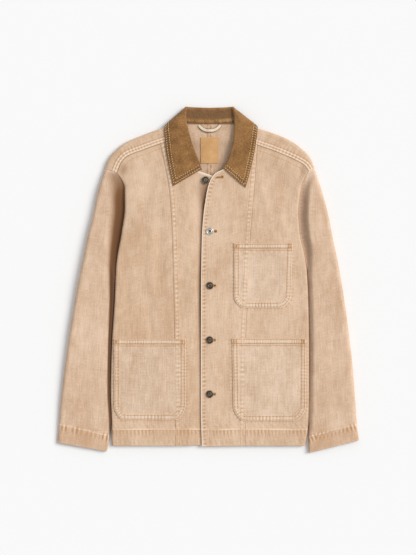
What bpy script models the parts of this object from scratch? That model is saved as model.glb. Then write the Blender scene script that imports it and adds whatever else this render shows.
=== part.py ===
"""Denim barn jacket, laid flat on its back with the front showing.

Frame: +X to the wearer's left, +Y towards the collar, +Z out of the front. The origin is on
the table, under the middle of the garment's outline. Tables and sizes are in millimetres and
are scaled to metres when a mesh is made.
"""
import math
from collections import namedtuple

import bpy
import numpy as np
from mathutils import Vector
from mathutils.bvhtree import BVHTree

MM = 0.001

# Cloth and fit
DENIM = 1.5              # thickness of the washed denim wall
SEAM_GAP = 0.3           # clear space left between two pieces at a seam
LAY_GAP = 0.35           # clear space under a piece that lies on another
COLLAR_PLY = 1.1         # one layer of the collar
COLLAR_HALF_GAP = 0.25   # half of the space between the collar's two layers
COLLAR_SKIN = COLLAR_PLY + COLLAR_HALF_GAP

# The body as laid
CENTRE_X = 4.5           # centre line of the front and the back
HEM_Y = -378.0
UNDERARM_Y = 17.0
SIDE_ROLL = 6.0          # how far in from the side the cloth starts to turn under
FOLD_ROLL = 8.0          # the same at the shoulder fold
SLEEVE_TUCK_TOP = 4.1    # top of the sleeve where it lies under the body
SLEEVE_CLEAR = 5.0       # how far out from the body's side the sleeve starts to rise
SIDE_LIFT = 4.7          # underside of the back where it lies over the sleeve
NECK_LIFT = 4.9          # underside of the back where it lies over the collar's back fall
SHOULDER_CORNER_ROLL = 14.0    # the same where the shoulder fold meets the armhole
SHOULDER_CORNER_ROW = 0.9      # share of the back's height at which that corner starts
NECK_Y = 354.0           # centre back of the neck seam
TUCK_END_Y = -20.0       # below this the sleeve's inner part lies wholly under the body
TUCK_FADE = 32.0

# The under front lies below the over front from here to its edge, up to the neck
PLACKET_DROP = 2.1
PLACKET_X = -46.0
PLACKET_FADE = 26.0
PLACKET_TOP_Y = 275.0
PLACKET_TOP_FADE = 30.0
UNDER_FRONT_X = 24.0     # edge of the under front, hidden by the over front

# The back lifts off the table over the sleeve, from this far in from the sleeve's inner fold
LIFT_REACH = 66.0
LIFT_WIDTH = 38.0
LIFT_TOP_Y = 64.0
LIFT_TOP_FADE = 40.0
HEM_LIFT = 0.3           # share of the lift that is left at the hem
HEM_LIFT_Y = -385.0
HEM_LIFT_FADE = 50.0

# It lifts over the collar's back fall too, above this height and this near the centre line
COLLAR_LIFT_Y = 296.0
COLLAR_LIFT_FADE = 24.0
COLLAR_LIFT_X = 132.0
COLLAR_LIFT_SIDE_FADE = 26.0

# Buttons
BUTTON_DIAMETER = 17.0
BUTTON_CAP = 3.2
SHANK_DIAMETER = 4.0
HOLE_WIDTH = 4.7
HOLE_LENGTH = 19.5
HOLE_START = 2.6         # how far the hole runs past the shank on the edge's side
OPEN_SHANK = 2.2         # shank of the button that is not done up

SMALL = 1e-6


# ---------------------------------------------------------------- curves

def ease(t):
    """0 below 0, 1 above 1, and a soft S between them."""
    t = min(max(t, 0.0), 1.0)
    return t * t * (3 - 2 * t)


def hermite(knots, values):
    """Smooth function through values at rising knots, with no overshoot between them."""
    knots = np.asarray(knots, float)
    values = np.asarray(values, float)
    spans = np.diff(knots)
    rises = (np.diff(values, axis=0).T / spans).T
    slopes = np.empty_like(values)
    slopes[0] = rises[0]
    slopes[-1] = rises[-1]
    before = rises[:-1]
    after = rises[1:]
    same = before * after > 0
    mean = 2 * before * after / np.where(same, before + after, 1)
    slopes[1:-1] = np.where(same, mean, 0)

    def at(t):
        t = min(max(t, knots[0]), knots[-1])
        i = int(np.clip(np.searchsorted(knots, t, side="right") - 1, 0, len(knots) - 2))
        step = knots[i + 1] - knots[i]
        s = (t - knots[i]) / step
        start, end = values[i], values[i + 1]
        bend = start * (1 + 2 * s) * (1 - s) ** 2 + end * s * s * (3 - 2 * s)
        return bend + step * s * (1 - s) * (slopes[i] * (1 - s) - slopes[i + 1] * s)

    return at


def path(rows):
    """Smooth path through points; its argument runs from 0 to 1 along its length."""
    points = np.array(rows, float)
    steps = np.linalg.norm(np.diff(points, axis=0), axis=1)
    length = np.concatenate([[0.0], np.cumsum(steps)])
    return hermite(length / length[-1], points)


def column(rows, key, value):
    """Smooth function of one named column of a table over another."""
    ordered = sorted(rows, key=lambda row: getattr(row, key))
    return hermite([getattr(r, key) for r in ordered], [getattr(r, value) for r in ordered])


def roll(distance, reach):
    """Rise of a round edge: 0 on the edge, 1 from reach inwards."""
    q = min(max(distance / reach, 0.0), 1.0)
    return math.sqrt(1 - (1 - q) ** 2)


# ---------------------------------------------------------------- tables

Edge = namedtuple("Edge", "y x z")
Height = namedtuple("Height", "y z")
Sleeve = namedtuple("Sleeve", "y top rise")
Collar = namedtuple("Collar", "along roll_x roll_y roll_z edge_x edge_y edge_z turn arch")
Fold = namedtuple("Fold", "x1 y1 x2 y2 half_width depth")
Pocket = namedtuple("Pocket", "name side left right low_left low_right top bottom corner_x corner_y")
Button = namedtuple("Button", "name x y fastened")

# Top of the front cloth above the table, from the hem to the shoulder.
FRONT_HEIGHT = (
    Height(-378, 9.6), Height(-340, 11.2), Height(-250, 13.2), Height(-130, 14.6),
    Height(0, 15.4), Height(120, 15.4), Height(210, 14.8), Height(260, 14.4), Height(380, 14.4))

# The widest soft folds of the front, as shallow troughs.
FOLDS = (
    Fold(-122, 270, -152, 120, 17, 1.6),
    Fold(-148, 90, -142, -90, 18, 1.2),
    Fold(126, 285, 140, 190, 16, 1.6),
    Fold(150, 262, 186, 165, 16, 1.8),
)

# Side line: side seam from the hem to the underarm, then the front armhole up to the shoulder seam.
SIDE_RIGHT = (
    Edge(-378, -217.5, 5.8), Edge(-326, -218.0, 8.0), Edge(-253, -220.5, 9.0),
    Edge(-150, -218.0, 9.7), Edge(-46, -211.5, 10.0), Edge(17, -209.0, 9.0),
    Edge(28, -208.0, 10.8), Edge(53, -205.0, 10.3), Edge(106, -195.5, 9.0), Edge(167, -188.0, 9.0),
    Edge(208, -188.0, 10.0), Edge(230, -197.0, 12.3), Edge(241.5, -206.6, 13.8))
SIDE_LEFT = (
    Edge(-378, 222.5, 5.8), Edge(-326, 229.5, 8.0), Edge(-253, 231.0, 9.0),
    Edge(-150, 231.0, 9.7), Edge(-46, 229.3, 10.0), Edge(17, 226.5, 9.0),
    Edge(28, 225.2, 10.8), Edge(53, 221.5, 10.3), Edge(106, 210.0, 9.0), Edge(150, 207.3, 9.0),
    Edge(208, 212.0, 10.0), Edge(232, 222.0, 12.3), Edge(246.3, 229.5, 13.8))

# Back armhole from the underarm to the shoulder point.
ARMHOLE_BACK_RIGHT = (
    Edge(17, -209.0, 9.0), Edge(27, -207.0, 4.6), Edge(45, -203.0, 2.4), Edge(80, -196.0, 0.0),
    Edge(130, -190.0, 0.0), Edge(180, -192.0, 0.0), Edge(220, -206.0, 0.0), Edge(241, -222.0, 0.0),
    Edge(251, -233.6, 7.5))
ARMHOLE_BACK_LEFT = (
    Edge(17, 226.5, 9.0), Edge(27, 224.0, 4.6), Edge(45, 219.0, 2.4), Edge(80, 211.0, 0.0),
    Edge(130, 203.5, 0.0), Edge(180, 204.5, 0.0), Edge(220, 218.0, 0.0), Edge(241, 232.5, 0.0),
    Edge(252, 243.5, 7.5))

# Shoulder fold in plan, from the neck to the shoulder point.
SHOULDER_RIGHT = (
    (-62, 360.5), (-79, 352.5), (-97, 345.0), (-119.2, 338.6), (-153.2, 325.7), (-185, 312.1),
    (-203.2, 298.5), (-216.8, 284.9), (-225.9, 271.3), (-233.6, 251))
SHOULDER_LEFT = (
    (72, 360.5), (90, 352.5), (108, 345.0), (130.5, 338.6), (166.8, 325.7), (194.1, 312.1),
    (212.2, 298.5), (227.1, 284.9), (235.9, 271.3), (243.5, 252))

# Forward shoulder seam in plan, from the neck to the armhole.
SHOULDER_SEAM_RIGHT = (
    (-56, 325), (-107.8, 308), (-146.9, 294), (-183, 279.4), (-196.5, 264.9), (-206.6, 241.5))
SHOULDER_SEAM_LEFT = (
    (70, 320), (112.4, 305.3), (157.1, 289.4), (203.2, 269), (219.5, 259), (229.5, 246.3))

# Neck seam in plan: centre front to shoulder seam, then to the shoulder fold, then to centre back.
NECK_FRONT_RIGHT = ((-21, 246.5), (-31, 264), (-41, 284), (-50, 306), (-56, 325))
NECK_FRONT_LEFT = ((43, 251.5), (55, 266), (63, 285), (68, 304), (70, 320))
NECK_SIDE_RIGHT = ((-62, 360.5), (-60, 350), (-57.5, 338), (-56, 325))
NECK_SIDE_LEFT = ((72, 360.5), (71.5, 350), (70.5, 338), (70, 320))
NECK_BACK_RIGHT = ((CENTRE_X, NECK_Y), (-22, 354.8), (-44, 356.5), (-62, 360.5))
NECK_BACK_LEFT = ((CENTRE_X, NECK_Y), (32, 354.8), (54, 356.5), (72, 360.5))

# Seam between centre front and side front, from the hem up.
PANEL_SEAM_RIGHT = (
    (-72.9, -378), (-73.5, -300), (-75.4, -92), (-78.5, 40), (-81.7, 135), (-87, 203), (-107.8, 308))
PANEL_SEAM_LEFT = (
    (84.5, -378), (85.2, -250), (86, -133), (89, -60), (97.6, 112.4), (105.6, 203.2), (112.4, 305.3))

# Free edges of the two fronts, from the hem up.
UNDER_EDGE = ((UNDER_FRONT_X, -376), (UNDER_FRONT_X, -100), (UNDER_FRONT_X, 231))
OVER_EDGE = (
    (-13, -379.5), (-15, -294), (-14.8, -24), (-13, 92), (-10.2, 136), (-5, 179), (1.8, 214),
    (10.2, 232.7), (19, 242), (35, 249.5))

# Sleeve: outer fold from the shoulder point, inner fold from the underarm, both down to the cuff.
SLEEVE_OUTER_RIGHT = (
    (-233.6, 251), (-248.6, 203), (-259.9, 148.7), (-273.5, 94.2), (-284.9, 39.7), (-296.2, -14.8),
    (-305.3, -69.2), (-314.4, -123.7), (-322.0, -178.2), (-328.8, -232.7), (-334.8, -287.2),
    (-339.4, -341.6), (-341.9, -370.7))
SLEEVE_OUTER_LEFT = (
    (243.5, 252), (263.3, 189.5), (273.9, 148.7), (284.9, 94.2), (296.2, 39.7), (305.9, -14.8),
    (314.2, -69.2), (321.4, -123.7), (327.9, -178.2), (332.8, -232.7), (336.9, -287.2),
    (341.0, -341.6), (344.5, -366))
SLEEVE_INNER_RIGHT = (
    (-209, 17, 9.0), (-213, 4, 4.0), (-211, -15, 2.1), (-198, -55, 2.1), (-187, -100, 2.1),
    (-182, -160, 2.1), (-188, -230, 2.1), (-206, -300, 2.1), (-218.5, -330, 2.1),
    (-221.5, -350, 2.1), (-229, -391, 2.1))
SLEEVE_INNER_LEFT = (
    (226.5, 17, 9.0), (231, 4, 4.0), (230, -15, 2.1), (217, -55, 2.1), (206, -100, 2.1),
    (201, -160, 2.1), (207, -230, 2.1), (222, -300, 2.1), (230, -330, 2.1),
    (229.5, -350, 2.1), (230.5, -394.5, 2.1))

# Top of the sleeve, and how far out from the body's side it has risen to it.
SLEEVE_PROFILE_RIGHT = (
    Sleeve(-392, 8, 10), Sleeve(-345, 10.5, 12), Sleeve(-280, 14, 14), Sleeve(-180, 17, 15),
    Sleeve(-60, 18.5, 16), Sleeve(40, 19.5, 21), Sleeve(150, 19, 24), Sleeve(215, 17, 20),
    Sleeve(250, 14.6, 14))
SLEEVE_PROFILE_LEFT = (
    Sleeve(-395, 8, 10), Sleeve(-345, 10.5, 12), Sleeve(-280, 14, 13), Sleeve(-180, 17, 13),
    Sleeve(-60, 18.5, 13), Sleeve(40, 19.5, 15), Sleeve(150, 19, 17), Sleeve(215, 17, 17),
    Sleeve(250, 14.6, 14))
SLEEVE_ROLL_TOP = 24.0   # how far in from the sleeve's outer fold its top is still rising
SLEEVE_ROLL_UNDER = 10.0 # the same for its under side, which lies on the table
SLEEVE_FOLD = 0.42       # height of the outer fold as a share of the sleeve's top

# Collar, one row for each place along the neck seam from the front end (0) to centre back (1).
# roll: innermost line of the fold; edge: free edge of the fall; turn: 0 where the fall lies on
# top of the stand, 90 where both stand on their edge, 180 where the fall lies underneath.
COLLAR_RIGHT = (
    Collar(0.00, -13.4, 249.0, 13.6, -78.1, 211.6, 16.3, 0, 1.0),
    Collar(0.12, -19.0, 265.0, 14.6, -82.0, 229.0, 16.6, 0, 1.8),
    Collar(0.28, -28.5, 288.0, 15.2, -88.5, 261.0, 17.0, 0, 2.4),
    Collar(0.44, -37.0, 312.0, 15.3, -93.5, 292.0, 17.2, 0, 2.6),
    Collar(0.56, -44.5, 341.0, 15.0, -96.5, 321.0, 17.0, 8, 2.4),
    Collar(0.63, -49.5, 366.0, 14.2, -97.5, 338.0, 17.0, 20, 2.0),
    Collar(0.67, -50.0, 382.0, 12.2, -96.5, 347.0, 14.0, 50, 1.4),
    Collar(0.70, -49.0, 391.5, 8.8, -92.6, 352.8, 8.0, 90, 0.6),
    Collar(0.735, -43.0, 391.3, 5.4, -88.5, 349.0, 2.3, 140, 0.2),
    Collar(0.79, -35.0, 390.8, 4.0, -75.0, 340.5, 2.0, 165, 0.0),
    Collar(0.88, -18.0, 390.2, 3.65, -42.0, 333.5, 1.75, 180, 0.0),
    Collar(1.00, CENTRE_X, 389.5, 3.65, CENTRE_X, 330.5, 1.75, 180, 0.0))
COLLAR_LEFT = (
    Collar(0.00, 34.8, 251.4, 14.2, 86.3, 208.6, 16.6, 0, 1.0),
    Collar(0.12, 43.0, 263.0, 14.9, 92.0, 228.0, 16.8, 0, 1.8),
    Collar(0.28, 51.5, 283.0, 15.2, 100.5, 262.0, 17.0, 0, 2.4),
    Collar(0.44, 58.5, 310.0, 15.3, 107.0, 292.0, 17.2, 0, 2.6),
    Collar(0.56, 61.5, 338.0, 15.0, 111.0, 319.0, 17.0, 8, 2.4),
    Collar(0.63, 61.5, 364.0, 14.2, 113.0, 336.0, 17.0, 20, 2.0),
    Collar(0.67, 59.5, 382.0, 12.2, 113.5, 344.0, 14.0, 50, 1.4),
    Collar(0.70, 58.0, 391.5, 8.8, 110.5, 349.6, 8.0, 90, 0.6),
    Collar(0.735, 51.5, 391.3, 5.4, 104.0, 346.5, 2.3, 140, 0.2),
    Collar(0.79, 44.0, 390.8, 4.0, 86.0, 340.0, 2.0, 165, 0.0),
    Collar(0.88, 27.0, 390.2, 3.65, 51.0, 333.5, 1.75, 180, 0.0),
    Collar(1.00, CENTRE_X, 389.5, 3.65, CENTRE_X, 330.5, 1.75, 180, 0.0))
COLLAR_ROLL_FRONT = 2.25
COLLAR_ROLL_BACK = 1.9
FOLD_MARK = 0.70         # the collar row at the shoulder fold
EXTRA_COLLAR_ROWS = (0.75, 0.785)    # close rows behind that fold
COLLAR_SEAT = 0.6        # extra space at the collar's seam where it turns over the shoulder

POCKETS = (
    Pocket("pocket_chest", 1, 59.2, 193.0, 59.2, 188.5, 82.5, -64.7, 24, 27),
    Pocket("pocket_right", -1, -212.4, -49.5, -212.8, -49.5, -134.5, -319.0, 21, 34),
    Pocket("pocket_left", 1, 55.8, 223.6, 58.5, 222.9, -133.5, -321.5, 25, 33),
)

BUTTONS = (
    Button("button_1", -4.5, 225.4, False),
    Button("button_2", 5.2, 109.6, True),
    Button("button_3", 5.2, -13.8, True),
    Button("button_4", 4.8, -137.3, True),
    Button("button_5", 4.8, -260.1, True),
)
TOP_HOLE = (27.0, 232.0)         # centre of the open top buttonhole in the over front

# Label and hanger loop on the inside of the back neck
LABEL_SIZE = (40.0, 58.6)
LABEL_CENTRE = (4.5, 293.8)
LABEL_PLY = 1.0
LOOP_ENDS = (-23.0, 33.0)
LOOP_WIDTH = 8.5
LOOP_TOP = 349.5
LOOP_DIP = 11.0
LOOP_SQUARE = 2.6        # 2 is a plain bow; more makes its bottom flatter
LOOP_LIFT = 1.2          # how far the tape's middle stands off the back
LOOP_LEAN = 0.6          # how much the tape's ends lean outwards
LOOP_PLY = 1.2


# ---------------------------------------------------------------- heights over the table

front_height = column(FRONT_HEIGHT, "y", "z")


def fold_depth(x, y):
    """Depth of the soft troughs at a place in plan."""
    depth = 0.0
    for fold in FOLDS:
        run_x = fold.x2 - fold.x1
        run_y = fold.y2 - fold.y1
        length = math.hypot(run_x, run_y)
        along = ((x - fold.x1) * run_x + (y - fold.y1) * run_y) / length
        across = ((x - fold.x1) * run_y - (y - fold.y1) * run_x) / length
        fade = ease(along / (0.3 * length)) * ease((length - along) / (0.3 * length))
        depth += fold.depth * fade * math.exp(-(across / fold.half_width) ** 2)
    return depth


def front_top(side, x, y):
    """Top of the front away from its side roll."""
    under = ease((x - PLACKET_X) / PLACKET_FADE) if side < 0 else 0.0
    under *= ease((PLACKET_TOP_Y - y) / PLACKET_TOP_FADE)
    return front_height(y) - fold_depth(x, y) - PLACKET_DROP * under


class Half:
    """The paths and profiles of one half of the garment; side is -1 for the wearer's right."""

    def __init__(self, side, line, armhole, shoulder, seam, neck, panel, outer, inner, sleeve, collar):
        self.side = side
        self.line = hermite([r.y for r in line], [(r.x, r.y, r.z) for r in line])
        self.line_top = line[-1].y
        self.armhole = path([(r.x, r.y, r.z) for r in armhole])
        self.shoulder = path(shoulder)
        self.seam = path(seam)
        self.neck_front = path(neck[0])
        self.neck_side = path(neck[1])
        self.neck_back = path(neck[2])
        self.panel = path(panel)
        self.outer = path(outer)
        self.outer_x = hermite([p[1] for p in reversed(outer)], [p[0] for p in reversed(outer)])
        self.inner = path(inner)
        self.inner_x = hermite([p[1] for p in reversed(inner)], [p[0] for p in reversed(inner)])
        self.sleeve_top = column(sleeve, "y", "top")
        self.sleeve_rise = column(sleeve, "y", "rise")
        self.collar = {name: column(collar, "along", name) for name in Collar._fields[1:]}

    def front_z(self, x, y):
        """Outer face of the front, with the roll at its side."""
        edge = self.line(y)
        top = front_top(self.side, x, y)
        return edge[2] + (top - edge[2]) * roll(self.side * (edge[0] - x), SIDE_ROLL)

    def back_z(self, x, y):
        """Outer face of the back away from its rolls: on the table, or lifted over what is under it."""
        edge = self.inner_x(y)
        on_sleeve = ease((self.side * (x - edge) + LIFT_REACH) / LIFT_WIDTH)
        on_sleeve *= ease((LIFT_TOP_Y - y) / LIFT_TOP_FADE)
        on_sleeve *= HEM_LIFT + (1 - HEM_LIFT) * ease((y - HEM_LIFT_Y) / HEM_LIFT_FADE)
        on_collar = ease((y - COLLAR_LIFT_Y) / COLLAR_LIFT_FADE)
        on_collar *= ease((COLLAR_LIFT_X - abs(x - CENTRE_X)) / COLLAR_LIFT_SIDE_FADE)
        return SIDE_LIFT * on_sleeve + NECK_LIFT * on_collar

    def sleeve_z(self, x, y):
        """Top face of the sleeve."""
        edge = self.line(min(y, self.line_top))
        out = self.side * (x - edge[0])
        low = SLEEVE_TUCK_TOP + (edge[2] - SLEEVE_TUCK_TOP) * ease((y - TUCK_END_Y) / TUCK_FADE)
        top = low + (self.sleeve_top(y) - low) * ease((out - SLEEVE_CLEAR) / self.sleeve_rise(y))
        fold = self.sleeve_top(y) * SLEEVE_FOLD
        return fold + (top - fold) * roll(self.side * (self.outer_x(y) - x), SLEEVE_ROLL_TOP)

    def sleeve_under_z(self, x, y):
        """Under face of the sleeve, which lies on the table and turns up at the outer fold."""
        fold = self.sleeve_top(y) * SLEEVE_FOLD
        return fold * (1 - roll(self.side * (self.outer_x(y) - x), SLEEVE_ROLL_UNDER))


RIGHT = Half(-1, SIDE_RIGHT, ARMHOLE_BACK_RIGHT, SHOULDER_RIGHT, SHOULDER_SEAM_RIGHT,
             (NECK_FRONT_RIGHT, NECK_SIDE_RIGHT, NECK_BACK_RIGHT), PANEL_SEAM_RIGHT,
             SLEEVE_OUTER_RIGHT, SLEEVE_INNER_RIGHT, SLEEVE_PROFILE_RIGHT, COLLAR_RIGHT)
LEFT = Half(1, SIDE_LEFT, ARMHOLE_BACK_LEFT, SHOULDER_LEFT, SHOULDER_SEAM_LEFT,
            (NECK_FRONT_LEFT, NECK_SIDE_LEFT, NECK_BACK_LEFT), PANEL_SEAM_LEFT,
            SLEEVE_OUTER_LEFT, SLEEVE_INNER_LEFT, SLEEVE_PROFILE_LEFT, COLLAR_LEFT)


# ---------------------------------------------------------------- one skin, cut into pieces

class Skin:
    """The outer face of joined pieces. Neighbours share points, so their walls match at a seam."""

    def __init__(self):
        self.points = []
        self.index = {}
        self.faces = {}

    def add(self, point):
        key = tuple(int(round(c * 1000)) for c in point)
        if key not in self.index:
            self.index[key] = len(self.points)
            self.points.append(np.array(point, float))
        return self.index[key]

    def patch(self, piece, grid, flip):
        """Add a grid of points to a piece; flip turns its faces over."""
        rows = [[self.add(point) for point in row] for row in grid]
        for low, high in zip(rows, rows[1:]):
            for i in range(len(low) - 1):
                face = []
                for corner in (low[i], low[i + 1], high[i + 1], high[i]):
                    if corner not in face:
                        face.append(corner)
                if len(face) > 2:
                    self.faces.setdefault(piece, []).append([face[0]] + face[:0:-1] if flip else face)

    def normals(self):
        """Mean direction of the faces round each point, over all pieces, each by its corner's angle."""
        total = np.zeros((len(self.points), 3))
        for faces in self.faces.values():
            for face in faces:
                way = face_area(self.points, face)
                way /= max(np.linalg.norm(way), SMALL)
                for before, here, after in zip(face[-1:] + face[:-1], face, face[1:] + face[:1]):
                    one = self.points[before] - self.points[here]
                    two = self.points[after] - self.points[here]
                    total[here] += way * math.atan2(np.linalg.norm(np.cross(one, two)), one @ two)
        return total / np.maximum(np.linalg.norm(total, axis=1), SMALL)[:, None]

    def wall(self, piece, normals, outer, inner):
        """Closed wall of one piece between two distances from the skin, clear of its seams."""
        faces = self.faces[piece]
        edges = {(a, b) for face in faces for a, b in zip(face, face[1:] + face[:1])}
        rim = {a: b for a, b in edges if (b, a) not in edges}
        used = sorted({i for face in faces for i in face})
        order = {i: k for k, i in enumerate(used)}
        pull = {i: [] for i in rim}
        for a, b in rim.items():
            inward = np.cross(normals[a] + normals[b], self.points[b] - self.points[a])
            inward /= max(np.linalg.norm(inward), SMALL)
            pull[a].append(inward)
            pull[b].append(inward)
        moved = {}
        for i in used:
            point = self.points[i].copy()
            if i in pull:
                one, two = pull[i]
                point += (one + two) / max(1 + one @ two, 0.4) * SEAM_GAP / 2
            moved[i] = point
        vertices = [moved[i] + normals[i] * outer for i in used]
        vertices += [moved[i] + normals[i] * inner for i in used]
        count = len(used)
        polygons = []
        for face in faces:
            for one, two in zip(face[1:], face[2:]):
                triangle = [order[face[0]], order[one], order[two]]
                polygons.append(triangle)
                polygons.append([i + count for i in reversed(triangle)])
        for a, b in rim.items():
            one, two = order[a], order[b]
            if a < b:
                polygons += [[two, one, two + count], [one, one + count, two + count]]
            else:
                polygons += [[two, one, one + count], [two, one + count, two + count]]
        return vertices, polygons


def face_area(points, face):
    """Area vector of a polygon."""
    corners = [points[i] for i in face]
    total = np.zeros(3)
    for one, two in zip(corners[1:], corners[2:]):
        total += np.cross(one - corners[0], two - corners[0])
    return total / 2


def patch_plan(start, end, top, columns, rows, blend_from):
    """Plan points on rows between two side paths, where the last row follows a top path.

    columns gives the places across for a row's width; all paths run on fractions from 0 to 1.
    """
    first = start(1.0)[:2]
    last = end(1.0)[:2]
    grid = []
    for row in rows:
        a = start(row)[:2]
        b = end(row)[:2]
        blend = ease((row - blend_from) / (1 - blend_from))
        across = columns(np.linalg.norm(b - a))
        ends = columns(np.linalg.norm(last - first))
        line = []
        for c, c_top in zip(across, ends):
            bend = top(c_top)[:2] - (first + (last - first) * c_top)
            line.append(a + (b - a) * c + bend * blend)
        grid.append(line)
    return grid


ROLL_STEPS = (1.0, 0.5, 0.134)    # of the roll's reach: 90, 60 and 30 degrees up it


def columns_to_side(count):
    """Even columns, then the narrow ones round the side roll."""
    def across(width):
        flat = np.linspace(0, 1 - SIDE_ROLL / width, count + 1)
        turn = [1 - SIDE_ROLL * step / width for step in ROLL_STEPS[1:]]
        return list(flat) + turn + [1.0]
    return across


def even_columns(count):
    return lambda width: list(np.linspace(0, 1, count + 1))


# Row fractions: hem to underarm, then underarm to the top. The underarm is at UNDERARM_MARK.
UNDERARM_MARK = 0.62
LOW_ROWS = list(np.linspace(0, UNDERARM_MARK, 11))
HIGH_ROWS = [UNDERARM_MARK + 0.017] + list(np.linspace(UNDERARM_MARK, 1, 7))[1:]
FRONT_ROWS = LOW_ROWS + HIGH_ROWS
FOLD_ROWS = (0.935, 0.968, 0.988, 0.996, 1.0)
BACK_ROWS = LOW_ROWS + HIGH_ROWS[:-2] + [0.895] + list(FOLD_ROWS)


def rise(row, low, middle, high):
    """Height in plan for a row fraction, with the underarm at its mark."""
    if row <= UNDERARM_MARK:
        return low + (middle - low) * row / UNDERARM_MARK
    return middle + (high - middle) * (row - UNDERARM_MARK) / (1 - UNDERARM_MARK)


SIDE_COLUMNS = 5
SIDE_BLEND = 0.62        # row fraction from which the side front follows the shoulder seam


def side_front(skin, half):
    """Side front panel: panel seam to side seam and armhole, hem to shoulder seam."""
    start = lambda row: half.panel(row)
    end = lambda row: half.line(rise(row, HEM_Y, UNDERARM_Y, half.line_top))
    mark = seam_mark(half)
    top = lambda c: half.seam(mark + (1 - mark) * c)
    plan = patch_plan(start, end, top, columns_to_side(SIDE_COLUMNS), FRONT_ROWS, SIDE_BLEND)
    grid = []
    for row, line in zip(FRONT_ROWS, plan):
        points = [(x, y, half.front_z(x, y)) for x, y in line]
        points[-1] = tuple(end(row))
        grid.append(points)
    skin.patch(piece_name("side_front", half), grid, half.side < 0)
    return grid


def seam_mark(half):
    """Fraction of the shoulder seam at which the panel seam meets it."""
    target = half.panel(1.0)
    fractions = np.linspace(0, 1, 401)
    distances = [np.linalg.norm(half.seam(f) - target) for f in fractions]
    return float(fractions[int(np.argmin(distances))])


NECK_SHARE = 0.8         # share of the centre front's top row that is neck edge
NECK_START = 0.25        # share of that edge before the collar starts
CENTRE_COLUMNS = 5
CENTRE_BLEND = 0.66      # row fraction from which the centre front follows the neck and shoulder


def centre_front(skin, half, edge, side_grid):
    """Centre front panel: free edge to panel seam, hem to neck and shoulder seam."""
    free = path(edge)
    mark = seam_mark(half)

    def top(c):
        if c <= NECK_SHARE:
            return front_neck(c / NECK_SHARE)
        return half.seam(mark * (c - NECK_SHARE) / (1 - NECK_SHARE))

    corner = np.array(edge[-1], float)
    neck_start = half.neck_front(0.0)

    def front_neck(t):
        if t < NECK_START:
            return corner + (neck_start - corner) * t / NECK_START
        return half.neck_front((t - NECK_START) / (1 - NECK_START))

    plan = patch_plan(free, half.panel, top, even_columns(CENTRE_COLUMNS), FRONT_ROWS, CENTRE_BLEND)
    grid = []
    for line, side_line in zip(plan, side_grid):
        points = [(x, y, half.front_z(x, y)) for x, y in line]
        points[-1] = side_line[0]
        grid.append(points)
    skin.patch(piece_name("centre_front", half), grid, half.side < 0)
    return grid


NECK_PLACES = (0.0, 0.36, 0.7, 0.93, 1.0)    # columns of the back along half of its neck seam
NECK_COLUMNS = len(NECK_PLACES) - 1
BACK_NECK_SHARE = 0.24   # share of the back's top row that is neck seam
BACK_BLEND = 0.55        # row fraction from which the back follows the neck and shoulder
WRAP_ROWS = (0.11, 0.3, 0.62)    # shares of the way from the shoulder fold to the forward seam


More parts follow.
